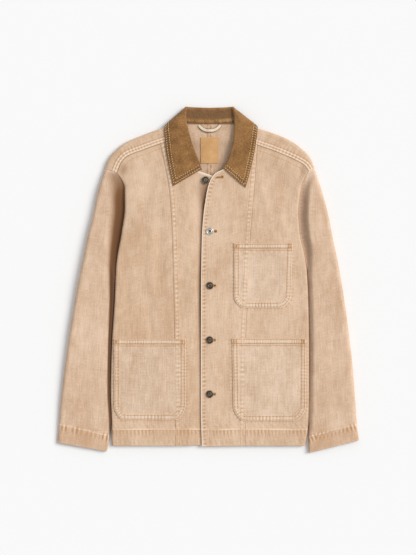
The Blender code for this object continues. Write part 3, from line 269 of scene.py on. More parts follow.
LEFT = Half(
    1,
    ((-378, 222.5, 5.8), (-326, 229.5, 8.0), (-253, 231.0, 9.0), (-150, 231.0, 9.7), (-46, 229.3, 10.0),
     (17, 226.5, 9.0), (28, 225.2, 10.8), (53, 221.5, 10.3), (106, 210.0, 9.0), (150, 207.3, 9.0),
     (208, 212.0, 10.0), (232, 222.0, 12.3), (246.3, 229.5, 13.8)),
    ((17, 226.5, 9.0), (27, 224.0, 4.6), (45, 219.0, 2.4), (80, 211.0, 0.0), (130, 203.5, 0.0),
     (180, 204.5, 0.0), (220, 218.0, 0.0), (241, 232.5, 0.0), (252, 243.5, 7.5)),
    ((72, 360.5), (90, 352.5), (108, 345.0), (130.5, 338.6), (166.8, 325.7), (194.1, 312.1),
     (212.2, 298.5), (227.1, 284.9), (235.9, 271.3), (243.5, 252)),
    ((70, 320), (112.4, 305.3), (157.1, 289.4), (203.2, 269), (219.5, 259), (229.5, 246.3)),
    (((43, 251.5), (55, 266), (63, 285), (68, 304), (70, 320)),
     ((72, 360.5), (71.5, 350), (70.5, 338), (70, 320)),
     ((CENTRE_X, 354), (32, 354.8), (54, 356.5), (72, 360.5))),
    ((84.5, -378), (85.2, -250), (86, -133), (89, -60), (97.6, 112.4), (105.6, 203.2), (112.4, 305.3)),
    ((243.5, 252), (263.3, 189.5), (273.9, 148.7), (284.9, 94.2), (296.2, 39.7), (305.9, -14.8),
     (314.2, -69.2), (321.4, -123.7), (327.9, -178.2), (332.8, -232.7), (336.9, -287.2),
     (341.0, -341.6), (344.5, -366)),
    ((226.5, 17, 9.0), (226.2, 4, 4.0), (224.5, -15, 2.1), (217, -55, 2.1), (206, -100, 2.1),
     (201, -160, 2.1), (207, -230, 2.1), (222, -300, 2.1), (230, -330, 2.1), (229.5, -350, 2.1),
     (230.5, -394.5, 2.1)),
    ((-395, 8, 10), (-345, 10.5, 12), (-280, 14, 13), (-180, 17, 13), (-60, 18.5, 13), (40, 19.5, 15),
     (150, 19, 17), (215, 17, 17), (250, 14.6, 14)))


class Line:
    """A seam or a stitch row in plan, with the place along it and the distance from it of any point."""

    def __init__(self, points, spacing=1.5):
        points = np.asarray(points, float)[:, :2]
        along = lengths(points)
        self.length = along[-1]
        self.s = np.linspace(0, self.length, max(int(self.length / spacing), 2) + 1)
        self.points = np.stack([np.interp(self.s, along, points[:, i]) for i in (0, 1)], axis=1)
        ways = np.gradient(self.points, self.s, axis=0)
        self.ways = ways / np.linalg.norm(ways, axis=1)[:, None]

    def near(self, x, y, reach):
        """Place along the line and distance to its left for points within reach; others are far off."""
        x = np.asarray(x, float)
        shape = x.shape
        x = x.ravel()
        y = np.asarray(y, float).ravel()
        s = np.zeros_like(x)
        d = np.full_like(x, 1e3)
        low = self.points.min(axis=0) - reach
        high = self.points.max(axis=0) + reach
        inside = np.flatnonzero((x > low[0]) & (x < high[0]) & (y > low[1]) & (y < high[1]))
        for part in np.array_split(inside, max(len(inside) // 4000, 1)):
            if not len(part):
                continue
            gap_x = x[part, None] - self.points[None, :, 0]
            gap_y = y[part, None] - self.points[None, :, 1]
            k = np.argmin(gap_x * gap_x + gap_y * gap_y, axis=1)
            row = np.arange(len(part))
            gx, gy = gap_x[row, k], gap_y[row, k]
            wx, wy = self.ways[k, 0], self.ways[k, 1]
            ahead = gx * wx + gy * wy
            past = ((k == 0) & (ahead < 0)) | ((k == len(self.s) - 1) & (ahead > 0))
            s[part] = self.s[k] + ahead
            left = wx * gy - wy * gx
            d[part] = left + np.where(past, np.sign(left) * np.abs(ahead), 0)
        return s.reshape(shape), d.reshape(shape)

    def moved(self, left):
        """The same line a distance to its left."""
        normals = np.stack([-self.ways[:, 1], self.ways[:, 0]], axis=1)
        return Line(self.points + normals * left)


def line_on(way, count):
    """The line of a seam that is given as a smooth way."""
    return Line(way(np.linspace(0, 1, count)))


def waves(s, period, seed):
    """Uneven waves along a seam, between about -1 and 1."""
    turn = 2 * math.pi * s / period + 1.2 * np.sin(s / 23 + seed) + 0.8 * np.sin(s / 59 + 2.3 * seed)
    size = 0.72 + 0.28 * np.sin(s / 14.0 + 3 * seed)
    return size * np.sin(turn)


class Relief:
    """Small heights and wear of the cloth's face, added up over its seams, hems and creases."""

    def __init__(self, x, y):
        self.x = x
        self.y = y
        self.height = np.zeros_like(x)
        self.wear = np.zeros_like(x)

    def puckers(self, line, offset, width, size, period, seed, slant=0.0):
        """Cloth drawn up along a stitch row that runs offset to the left of a line."""
        s, d = line.near(self.x, self.y, abs(offset) + 4 * width)
        d = d - offset
        close = hump(d, width)
        wave = waves(s + slant * d, period, seed)
        self.height += close * size * wave
        self.wear += close * (wave * 0.8 + 0.1)

    def edge(self, line, offset, width, wear, size=0.0):
        """A narrow line, paler with a positive wear and darker with a negative one, such as painted shade.
        """
        d = line.near(self.x, self.y, abs(offset) + 4 * width)[1] - offset
        close = hump(d, width)
        self.wear += close * wear
        self.height += close * size


def grid_faces(rows, columns, flip, first=0):
    """Triangles of a grid of points, two to a cell."""
    index = first + np.arange(rows * columns).reshape(rows, columns)
    corners = [index[:-1, :-1], index[:-1, 1:], index[1:, 1:], index[1:, :-1]]
    a, b, c, d = [corner.ravel() for corner in (corners[::-1] if flip else corners)]
    return np.concatenate([np.stack([a, b, c], 1), np.stack([a, c, d], 1)])


class Cloth:
    """A panel put together from grids of points, then closed into a thin shell with round edges."""

    def __init__(self):
        self.points = []
        self.tops = []
        self.uvs = []
        self.wears = []
        self.painted_shades = []
        self.thick = []
        self.count = 0

    def add(self, grid, flip, wear=None, thick=DENIM, shift=(0.0, 0.0), deep=None):
        """Add a grid of points; its rows and columns are the grain of the cloth."""
        rows, columns = grid.shape[:2]
        self.tops.append(grid_faces(rows, columns, flip, self.count))
        self.points.append(grid.reshape(-1, 3))
        across = np.concatenate([np.zeros((rows, 1)), np.cumsum(
            np.linalg.norm(np.diff(grid[..., :2], axis=1), axis=2), axis=1)], axis=1)
        across = across - across[:, columns // 2][:, None]
        middle = grid[:, columns // 2, :2]
        along = np.broadcast_to(lengths(middle)[:, None], across.shape)
        self.uvs.append(np.stack([across.ravel() + shift[0], along.ravel() + shift[1]], 1))
        self.wears.append(np.zeros(rows * columns) if wear is None else wear.ravel())
        # deep is the painted shade at each point, from 0 to 2.
        self.painted_shades.append(np.zeros(rows * columns) if deep is None else deep.ravel())
        self.thick.append(np.broadcast_to(np.asarray(thick, float), (rows, columns)).ravel())
        self.count += rows * columns

    def build(self, name, finish, tuck=0.35, inner_painted_shade=0.12, inner_wear=0.4):
        """Weld the grids, give them their wall and make the object."""
        points = np.concatenate(self.points)
        faces = np.concatenate(self.tops)
        uvs = np.concatenate(self.uvs)
        wears = np.concatenate(self.wears)
        painted_shades = np.concatenate(self.painted_shades)
        thick = np.concatenate(self.thick)
        _, first, back = np.unique(np.round(points * 200).astype(np.int64), axis=0,
                                   return_index=True, return_inverse=True)
        back = back.ravel()
        points, wears, painted_shades, thick = points[first], wears[first], painted_shades[first], thick[first]
        corners = uvs[faces]
        faces = back[faces]
        whole = ((faces[:, 0] != faces[:, 1]) & (faces[:, 1] != faces[:, 2]) & (faces[:, 2] != faces[:, 0]))
        faces, corners = faces[whole], corners[whole]
        normals = point_normals(points, faces)
        count = len(points)
        edges = np.concatenate([faces[:, [0, 1]], faces[:, [1, 2]], faces[:, [2, 0]]])
        edge_uv = np.concatenate([corners[:, [0, 1]], corners[:, [1, 2]], corners[:, [2, 0]]])
        key = edges[:, 0] * count + edges[:, 1]
        open_edge = ~np.isin(key, edges[:, 1] * count + edges[:, 0])
        rim, rim_uv = edges[open_edge], edge_uv[open_edge]
        a, b = rim[:, 0], rim[:, 1]
        inward = np.cross(normals[a] + normals[b], points[b] - points[a])
        inward /= np.maximum(np.linalg.norm(inward, axis=1), 1e-9)[:, None]
        pull = np.zeros_like(points)
        np.add.at(pull, a, inward)
        np.add.at(pull, b, inward)
        pull /= np.maximum(np.linalg.norm(pull, axis=1), 1e-9)[:, None]
        outer = points + pull * tuck
        inner = points - normals * thick[:, None] + pull * tuck
        on_rim = np.unique(rim)
        place = np.full(count, -1)
        place[on_rim] = np.arange(len(on_rim)) + 2 * count
        middle = (points - normals * (thick / 2)[:, None] + pull * -0.05)[on_rim]
        ma, mb = place[a], place[b]
        vertices = np.concatenate([outer, inner, middle])
        sides = [np.stack(t, 1) for t in (
            (b, a, ma), (b, ma, mb), (mb, ma, a + count), (mb, a + count, b + count))]
        side_uv = [rim_uv[:, [1, 0, 0]], rim_uv[:, [1, 0, 1]], rim_uv[:, [1, 0, 0]], rim_uv[:, [1, 0, 1]]]
        triangles = np.concatenate([faces, faces[:, ::-1] + count] + sides)
        loops = np.concatenate([corners, corners[:, ::-1]] + side_uv)
        wear = np.concatenate([wears, wears * inner_wear, wears[on_rim] + 0.25])
        # The inner faces take at least the inner painted shade.
        deep = np.concatenate([painted_shades, np.maximum(painted_shades, inner_painted_shade), painted_shades[on_rim]])
        return make_mesh(name, vertices, triangles, finish, loops, {"wear": wear, "deep": deep})


def point_normals(points, faces):
    """Mean direction of the triangles round each point."""
    one = points[faces[:, 1]] - points[faces[:, 0]]
    two = points[faces[:, 2]] - points[faces[:, 0]]
    area = np.cross(one, two)
    total = np.zeros_like(points)
    for k in range(3):
        np.add.at(total, faces[:, k], area)
    return total / np.maximum(np.linalg.norm(total, axis=1), 1e-12)[:, None]


def add_field(mesh, name, values):
    """A value at each point, which the material reads."""
    field = mesh.attributes.new(name, "FLOAT", "POINT")
    field.data.foreach_set("value", np.asarray(values, np.float32))


def make_mesh(name, vertices, triangles, finish, loops=None, fields=None):
    """Object from millimetre points and triangles, shaded smooth, with nothing below the table."""
    vertices = np.array(vertices, float)
    vertices[:, 2] = np.maximum(vertices[:, 2], 0.0)
    mesh = bpy.data.meshes.new(name)
    mesh.vertices.add(len(vertices))
    mesh.vertices.foreach_set("co", (vertices * MM).ravel())
    mesh.loops.add(len(triangles) * 3)
    mesh.loops.foreach_set("vertex_index", np.asarray(triangles, np.int32).ravel())
    mesh.polygons.add(len(triangles))
    mesh.polygons.foreach_set("loop_start", np.arange(0, len(triangles) * 3, 3, dtype=np.int32))
    mesh.update(calc_edges=True)
    if loops is not None:
        layer = mesh.uv_layers.new(name="grain")
        layer.data.foreach_set("uv", (loops.reshape(-1, 2) * MM).ravel())
    for key, values in (fields or {}).items():
        add_field(mesh, key, values)
    mesh.shade_smooth()
    mesh.materials.append(finish)
    mesh.validate()
    made = bpy.data.objects.new(name, mesh)
    scene.collection.objects.link(made)
    return made


class Value:
    """An output of a material's node, on which sums are written as plain arithmetic."""

    def __init__(self, shade, socket):
        self.shade = shade
        self.socket = socket

    def math(self, operation, *others, clamp=False):
        made = self.shade.tree.nodes.new("ShaderNodeMath")
        made.operation = operation
        made.use_clamp = clamp
        for slot, value in zip(made.inputs, (self,) + others):
            self.shade.join(slot, value)
        return Value(self.shade, made.outputs[0])

    def __add__(self, other):
        return self.math("ADD", other)

    def __sub__(self, other):
        return self.math("SUBTRACT", other)

    def __mul__(self, other):
        return self.math("MULTIPLY", other)

    def __rsub__(self, other):
        return (self * -1.0) + other

    __radd__ = __add__
    __rmul__ = __mul__

    def between(self, low, high):
        """0 at low, 1 at high, clamped."""
        return (self - low).math("DIVIDE", high - low, clamp=True)


class Shade:
    """A material under construction."""

    def __init__(self, name):
        self.material = bpy.data.materials.new(name)
        self.material.use_nodes = True
        self.tree = self.material.node_tree
        self.surface = self.tree.nodes["Principled BSDF"]

    def join(self, slot, value):
        if isinstance(value, Value):
            self.tree.links.new(value.socket, slot)
        else:
            slot.default_value = value

    def node(self, kind, settings=None, inputs=None, out=0):
        """Any node: its type, its settings and what goes into it."""
        made = self.tree.nodes.new("ShaderNode" + kind)
        for key, value in (settings or {}).items():
            setattr(made, key, value)
        for key, value in (inputs or {}).items():
            self.join(made.inputs[key], value)
        return Value(self, made.outputs[out])

    def mix(self, factor, one, two):
        made = self.tree.nodes.new("ShaderNodeMix")
        made.data_type = "RGBA"
        self.join(made.inputs["Factor"], factor)
        for key, value in (("A", one), ("B", two)):
            slot = [i for i in made.inputs if i.name == key and i.type == "RGBA"][0]
            self.join(slot, value if isinstance(value, Value) else (*value, 1.0))
        return Value(self, [o for o in made.outputs if o.type == "RGBA"][0])

    def field(self, name):
        return self.node("Attribute", {"attribute_name": name}, out=2)

    def stretched(self, coordinates, scale):
        return self.node("Mapping", inputs={"Vector": coordinates, "Scale": scale})

    def noise(self, coordinates, scale, detail=2.0, rough=0.5):
        return self.node("TexNoise", inputs={
            "Vector": coordinates, "Scale": scale, "Detail": detail, "Roughness": rough})

    def ribs(self, coordinates, direction, scale, distortion, more=None):
        """Even bands, as of twill, cord or twisted thread."""
        return self.node("TexWave", {"bands_direction": direction}, {
            "Vector": coordinates, "Scale": scale, "Distortion": distortion, **(more or {})}, out=1)

    def finish(self, colour, rough, height, distance, strength, **constants):
        """Give the surface its colour, roughness and bump, and its plain constants by name."""
        bump = self.node("Bump", inputs={"Height": height, "Distance": distance, "Strength": strength})
        for key, value in (("Base Color", colour), ("Roughness", rough), ("Normal", bump)):
            self.join(self.surface.inputs[key], value)
        for key, value in constants.items():
            self.surface.inputs[key.replace("_", " ")].default_value = value
        return self.material


def denim(name, deep, pale, fade=0.0):
    """Washed twill: faded where it is rubbed, mottled and slubbed, darker where wear is negative, and with
    painted shade where the deep field asks for it.
    """
    shade = Shade(name)
    grain = shade.node("UVMap", {"uv_map": "grain"})
    place = shade.node("TexCoord", out=3)
    wear = shade.field("wear")
    cloudy = shade.noise(shade.stretched(place, (1.0, 0.45, 1.0)), 17.0, 3.0, 0.55)
    patchy = shade.noise(shade.stretched(place, (1.0, 0.6, 1.0)), 62.0, 3.0, 0.6)
    slub = shade.noise(shade.stretched(grain, (420.0, 24.0, 1.0)), 1.0, 2.0, 0.6)
    cross = shade.noise(shade.stretched(grain, (36.0, 430.0, 1.0)), 1.0, 2.0, 0.6)
    fleck = shade.noise(shade.stretched(grain, (330.0, 240.0, 1.0)), 1.0, 3.0, 0.75)
    twill = shade.ribs(grain, "DIAGONAL", 230.0, 1.6, {"Detail": 1.0, "Detail Scale": 1.4})
    faded = ((cloudy - 0.5) * 1.45 + (patchy - 0.5) * 1.1 + (slub - 0.5) * 1.25 + (cross - 0.5) * 0.75
             + (fleck - 0.5) * 1.3 + (twill - 0.5) * 0.16 + wear * 0.45 + (0.5 + fade))
    body = shade.mix(faded.between(0.0, 1.0), deep, pale)
    rubbed = shade.mix(((wear - 0.3) * 0.75).between(0.0, 1.0), body, (0.88, 0.725, 0.575))
    # Negative wear darkens to brown: soil at some marks, painted shade at others, in troughs and beside
    # raised edges.
    soil_and_shade = shade.mix((wear * -1.0).between(0.1, 1.4), rubbed, (0.50, 0.245, 0.095))
    # The deep field is painted shade: in the valley between sleeve and body, under the over front's edge,
    # inside the collar's stand and on inner faces; from 1 to 2 it is the darkest painted shadow.
    colour = shade.mix(shade.field("deep").between(0.0, 1.0), soil_and_shade, (0.19, 0.085, 0.034))
    colour = shade.mix(shade.field("deep").between(1.0, 2.0), colour, (0.035, 0.014, 0.006))
    height = twill * 0.35 + slub * 0.5 + cross * 0.35 + fleck * 0.45 + patchy * 0.6
    return shade.finish(colour, 0.93, height, 0.0006, 0.55, Sheen_Weight=0.1, Sheen_Roughness=0.6,
                        Specular_IOR_Level=0.15)


def thread(name, one, two):
    """Thick topstitching thread, its dye uneven from stitch to stitch."""
    shade = Shade(name)
    place = shade.node("TexCoord", out=3)
    dye = shade.noise(place, 140.0, 2.0, 0.6)
    ply = shade.ribs(place, "DIAGONAL", 900.0, 0.0)
    colour = shade.mix(dye.between(0.3, 0.7), one, two)
    return shade.finish(colour, 0.7, ply, 0.0001, 0.5)


def declare(piece, area, nodes):
    """Tie a piece of cloth to the solids and hide the solid parts that it stands for."""
    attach(piece, "root")
    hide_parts(*nodes)


body_denim = denim("washed_denim", (0.565, 0.37, 0.232), (0.76, 0.56, 0.405))
tan_thread = thread("tan_thread", (0.56, 0.275, 0.085), (0.74, 0.44, 0.19))
pale_thread = thread("pale_thread", (0.80, 0.64, 0.46), (0.88, 0.75, 0.58))


class Stitches:
    """Rows of sewn stitches, joined into one mesh."""

    def __init__(self):
        self.vertices = []
        self.triangles = []

    def row(self, points, up, pitch=3.2, thick=0.85, gap=0.5):
        """Stitches along a line of points in space, with the way up from the cloth at each point."""
        points = np.asarray(points, float)
        along = lengths(points)
        count = max(int(along[-1] / pitch), 1)
        for k in range(count):
            ends = np.array([k * pitch + gap / 2, (k + 1) * pitch - gap / 2])
            ends = ends * along[-1] / (count * pitch)
            a, b = [np.array([np.interp(e, along, points[:, i]) for i in range(3)]) for e in ends]
            lift = np.array([np.interp(ends.mean(), along, up[:, i]) for i in range(3)])
            self.stitch(a, b, lift / np.linalg.norm(lift), thick)

    def stitch(self, a, b, lift, thick):
        """One stitch: a short bow of thread that goes into the cloth at both ends."""
        way = b - a
        side = np.cross(way, lift)
        side *= thick / 2 / max(np.linalg.norm(side), 1e-9)
        first = len(self.vertices)
        self.vertices.append(a - lift * 0.15)
        for share in (0.22, 0.78):
            middle = a + way * share + lift * 0.12
            self.vertices += [middle + side, middle + lift * thick * 0.5,
                              middle - side, middle - lift * 0.25]
        self.vertices.append(b - lift * 0.15)
        last = first + 9
        for k in range(4):
            n = (k + 1) % 4
            one, two = first + 1 + k, first + 1 + n
            self.triangles += [[first, two, one], [one, two, two + 4], [one, two + 4, one + 4],
                               [one + 4, two + 4, last]]

    def build(self, name, finish, slot="denim"):
        made = make_mesh(name, self.vertices, self.triangles, finish)
        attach(made, "root")
        return made


def mesh_points(mesh):
    """A mesh's points in metres, one to a row."""
    co = np.empty(len(mesh.vertices) * 3)
    mesh.vertices.foreach_get("co", co)
    return co.reshape(-1, 3)


class Ground:
    """The faces of made pieces, on which others are laid and sewn."""

    def __init__(self, pieces):
        vertices = []
        polygons = []
        for piece in pieces:
            index = np.empty(len(piece.data.loops), np.int32)
            piece.data.loops.foreach_get("vertex_index", index)
            polygons += (index.reshape(-1, 3) + len(vertices)).tolist()
            vertices += (mesh_points(piece.data) / MM).tolist()
        self.tree = BVHTree.FromPolygons(vertices, polygons)

    def at(self, x, y):
        """Height and upward direction of the face at a place."""
        hit = self.tree.ray_cast(Vector((x, y, 100.0)), Vector((0, 0, -1)))
        return (hit[0].z, hit[1]) if hit[0] else (None, None)

    def lay(self, stitches, line, **how):
        """Sew a row along a line in plan, leaving out what misses the cloth."""
        points = []
        ups = []
        for x, y in line.points:
            z, up = self.at(x, y)
            if z is None:
                continue
            points.append((x, y, z))
            ups.append(np.array(up))
        if len(points) > 2:
            stitches.row(points, np.array(ups), **how)


def panel_grid(start, end, top, across, rows, blend_from):
    """Plan points on rows between two side lines, where the last row follows a top line."""
    a = start(rows)[..., :2]
    b = end(rows)[..., :2]
    first, last = a[-1], b[-1]
    share = across(np.linalg.norm(b - a, axis=1))
    ends = across(np.array([np.linalg.norm(last - first)]))[0]
    bend = top(ends) - (first + (last - first) * ends[:, None])
    blend = ease((rows - blend_from) / (1 - blend_from))
    return a[:, None] + (b - a)[:, None] * share[..., None] + bend[None] * blend[:, None, None]


def rows_from(step):
    """Row shares with the underarm at its mark."""
    low = int(round((UNDERARM_Y - HEM_Y) / step))
    high = int(round(245 / step))
    return np.concatenate([np.linspace(0, UNDERARM_MARK, low + 1),
                           np.linspace(UNDERARM_MARK, 1, high + 1)[1:]])


def rise(rows, low, middle, high):
    """Height in plan for row shares, with the underarm at its mark."""
    under = low + (middle - low) * rows / UNDERARM_MARK
    over = middle + (high - middle) * (rows - UNDERARM_MARK) / (1 - UNDERARM_MARK)
    return np.where(rows <= UNDERARM_MARK, under, over)


BACK_NECK_STEPS = 26
NECK_SHARE = 0.24                # share of the back's top row that is neck seam
FRONT_NECK_SHARE = 0.8           # the same for the centre front
NECK_START = 0.25                # share of the front's neck edge that is free, before the collar


def seam_mark(half):
    """Share of the shoulder seam at which the panel seam meets it."""
    shares = np.linspace(0, 1, 401)
    return shares[np.argmin(np.linalg.norm(half.seam(shares) - half.panel(1.0), axis=1))]


def front_seam_line(half):
    """The forward shoulder seam in space, from the neck to the armhole."""
    plan = half.seam(np.linspace(0, 1, 120))
    z = half.front_z(plan[:, 0], plan[:, 1])
    z[-1] = half.line(half.line_top)[2]
    return np.column_stack([plan, z])


def back_cloth(half):
    """One half of the back, with its wrap over the shoulder fold."""
    shoulder_count, turn_count = 78, 6
    places = np.concatenate([np.linspace(0, NECK_SHARE, BACK_NECK_STEPS + 1),
                             np.linspace(NECK_SHARE, 1, shoulder_count + 1)[1:]])
    rows = np.concatenate([rows_from(5.0)[:-4], 1 - np.array([16, 11, 8, 5.6, 3.6, 2.0, 0.9, 0]) / 737])
    rows = np.unique(rows)
    start = lambda r: np.stack([np.full_like(r, CENTRE_X), HEM_Y + (354 - HEM_Y) * r], axis=-1)
    low_rows = rows <= UNDERARM_MARK
    edge = np.where(low_rows[:, None], half.line(rise(rows, HEM_Y, UNDERARM_Y, 0)),
                    half.armhole((rows - UNDERARM_MARK) / (1 - UNDERARM_MARK)))
    a = start(rows)
    b = edge[:, :2]
    width = np.linalg.norm(b - a, axis=1)[:, None]
    flat = places[-turn_count - 1]
    share = places[None] * (1 - SIDE_ROLL / width) / flat
    share[:, -turn_count - 1:] = 1 - SIDE_ROLL * arc_steps(turn_count)[None] / width
    top = np.where((places <= NECK_SHARE)[:, None], half.neck_back(places / NECK_SHARE),
                   half.shoulder((places - NECK_SHARE) / (1 - NECK_SHARE)))
    bend = top - (a[-1] + (b[-1] - a[-1]) * places[:, None])
    blend = ease((rows - 0.55) / 0.45)[:, None]
    share = share + (places[None] - share) * blend
    plan = a[:, None] + (b - a)[:, None] * share[..., None] + bend[None] * blend[..., None]
    x, y = plan[..., 0], plan[..., 1]
    z = half.back_z(x, y)
    gap = half.side * (b[:, :1] - x)
    raised = low_rows | (edge[:, 2] > 0)
    reach = np.where(rows < 0.9, SIDE_ROLL, 14.0)[:, None]
    z = np.where(raised[:, None], edge[:, 2:] + (z - edge[:, 2:]) * roll(gap, reach), z)
    column = np.maximum(np.arange(len(places)), BACK_NECK_STEPS)
    fold = plan[-1][column]
    gap = np.linalg.norm(plan - fold[None], axis=2)
    fold_z = (front_height(y) + half.back_z(fold[:, 0], fold[:, 1])[None]) / 2
    z = fold_z + (z - fold_z) * roll(gap, FOLD_ROLL)
    z[:, -1] = edge[:, 2]

    # The felled centre seam and the hem press into the back's under face, and stand out inside it.
    seam = Line([(CENTRE_X, -384), (CENTRE_X, 362)])
    hem = Line([(-260, -341), (260, -341)])
    relief = Relief(x, y)
    relief.puckers(seam, BACK_ROW_OUT, width=3.4, size=0.28, period=9.0, seed=2.0)
    relief.puckers(seam, -BACK_ROW_OUT, width=3.4, size=0.28, period=9.5, seed=4.0)
    relief.puckers(hem, 0.0, width=4.5, size=0.3, period=8.5, seed=5.0, slant=0.5)
    dent = np.clip(relief.height + 0.15, 0, None) * ease((rows[-1] - rows) / 0.05)[:, None]
    thick = DENIM + 0.75 * ease((5.2 - np.abs(x - CENTRE_X)) / 1.6 + 0.5) + np.clip(-relief.height, 0, 0.3)
    thick = thick + 0.7 * ease((-341 - y) / 2 + 0.5)
    grid = np.stack([x, y, np.where(z < 1.0, z + dent, z)], axis=-1)
    cloth = Cloth()
    inside_seam = np.abs(np.abs(x - CENTRE_X) - BACK_ROW_OUT)
    relief.wear -= 1.3 * hump(inside_seam, 1.5) * ease((y - 200) / 20)
    relief.wear += 0.9 * hump(x - CENTRE_X, 1.6) * ease((y - 200) / 20)
    neck_shade = 0.8 * hump(np.clip(354.5 - y, 0, None), 2.6) * (np.abs(x - CENTRE_X) < 70)
    cloth.add(grid, half.side > 0, relief.wear, thick, deep=neck_shade)

    # Over the fold to the forward seam, where it is felled down on the fronts.
    low = grid[-1, BACK_NECK_STEPS:]
    seam_line = front_seam_line(half)
    along = lengths(seam_line[:, :2])
    marks = np.linspace(0, along[-1], shoulder_count + 1)
    high = np.stack([np.interp(marks, along, seam_line[:, i]) for i in range(3)], axis=1)
    t = np.concatenate([[0, 0.012, 0.03, 0.06, 0.1, 0.15, 0.21, 0.28], np.linspace(0.36, 1, 14)])
    place = low[None, :, :2] + (high - low)[None, :, :2] * t[:, None, None]
    place[:, 0] = half.neck_side(t)
    gap = np.linalg.norm(place - low[None, :, :2], axis=2)
    top_z = front_height(place[..., 1]) + (high[:, 2] - front_height(high[:, 1]))[None] * t[:, None]
    reach = np.full(shoulder_count + 1, FOLD_ROLL)
    reach[-6:] = np.linspace(FOLD_ROLL, FOLD_ROLL + 6, 6)
    z = low[None, :, 2] + (top_z - low[None, :, 2]) * roll(gap, reach[None])
    z[-1] = high[:, 2]
    wrap_x, wrap_y = place[..., 0], place[..., 1]
    relief = shoulder_relief(half, wrap_x, wrap_y)
    from_head = np.linalg.norm(place - place[:, -1:], axis=2)
    relief.wear += hump(from_head, 2.4) * (0.8 + 0.5 * waves(place[..., 1] * 1.3, 7.0, 3.0))
    wrap = np.stack([wrap_x, wrap_y, z + relief.height * ease(t / 0.3)[:, None]], axis=-1)
    wrap[0] = low
    cloth.add(wrap, half.side > 0, relief.wear)
    return cloth, grid, wrap


def shoulder_relief(half, x, y):
    """The felled forward seam: a raised band with two rows of stitches and drawn-up cloth between."""
    relief = Relief(x, y)
    s, d = line_on(half.seam, 160).near(x, y, 30)
    d = np.abs(d)
    wave = waves(s, 7.6, 3.0 + half.side)
    relief.height += 0.85 * ease((11.6 - d) / 2.0)
    close = hump(d - 5.8, 4.4)
    ladders = hump(d - 3.0, 1.7) + hump(d - 8.9, 1.7)
    between = hump(d - 6.0, 1.1)
    relief.height += close * 0.55 * wave + 0.2 * ladders - 0.35 * between
    # The darkening between the rows and just outside the band's edge is painted shade, as cast by the
    # raised band.
    relief.wear += ladders * (1.25 + 1.1 * wave) - between * (1.1 - 0.6 * wave)
    relief.wear -= 1.2 * hump(d - 12.2, 1.3) * (0.7 - 0.3 * wave)
    beyond = hump(d - 16.0, 4.0)
    relief.height += beyond * 0.25 * wave
    relief.wear += beyond * 0.35 * wave
    soft = np.sin(x / 17.0 + y / 23.0) * 0.35 + np.sin(x / 9.0 - y / 13.0) * 0.12
    relief.height += soft * ease((d - 14) / 8)
    return relief


back_parts = {}
for half in (RIGHT, LEFT):
    cloth, back_rows, wrap_rows = back_cloth(half)
    piece = cloth.build("back_cloth" + half.name, body_denim, inner_painted_shade=0.08, inner_wear=0.9)
    back_parts[half.side] = (piece, back_rows, wrap_rows)
    declare(piece, 0.167, ["back" + half.name])

# ---------------------------------------------------------------- side fronts
# The outer panel of each front, from the side seam and the armhole to the panel seam, with the body's
# deep hem turned up and sewn with one row.

STEP = 2.6                       # spacing of the points of the cloth that shows
HEM_LINE_Y = -341.0
PANEL_SEAM = {half.side: line_on(half.panel, 300) for half in (RIGHT, LEFT)}
HEM_LINE = Line([(-262, HEM_LINE_Y + 0.6), (-60, HEM_LINE_Y), (262, HEM_LINE_Y - 1.0)])
POCKETS = {
    # name: side, top left x, top right x, low left x, low right x, top, bottom, corner width and height
    "pocket_chest": (1, 59.2, 193.0, 59.2, 188.5, 82.5, -64.7, 24, 27),
    "pocket_right": (-1, -212.4, -49.5, -212.8, -49.5, -134.5, -319.0, 21, 34),
    "pocket_left": (1, 55.8, 223.6, 58.5, 222.9, -133.5, -321.5, 25, 33),
}


def corner_cut(share):
    """Share of a lower corner's width that is cut off at a share of its height."""
    under = 1 - np.clip(share, 0, 1)
    return 0.4 * under ** 1.7 + 0.6 * (1 - np.sqrt(1 - under ** 2))


def pocket_sides(pocket, ys, inset=0.0):
    """The x of a pocket's left and right edges, with its lower corners, at given heights."""
    _, left, right, low_left, low_right, top, bottom, corner_x, corner_y = pocket
    bottom = bottom + inset
    t = (top - ys) / (top - bottom)
    cut = corner_x * corner_cut((ys - bottom) / corner_y)
    return left + (low_left - left) * t + cut + inset, right + (low_right - right) * t - cut - inset


def pocket_outline(pocket, inset=0.0):
    """A pocket's edge from its top left corner down, across and up to its top right one."""
    top, bottom, corner_y = pocket[5], pocket[6] + inset, pocket[8]
    ys = np.concatenate([np.linspace(top, bottom + corner_y, 30), bottom + corner_y * (
        1 - np.linspace(0, 1, 16)[1:] ** 0.8)])
    lefts, rights = pocket_sides(pocket, ys, inset)
    return np.concatenate([np.column_stack([lefts, ys]), np.column_stack([rights, ys])[::-1]])


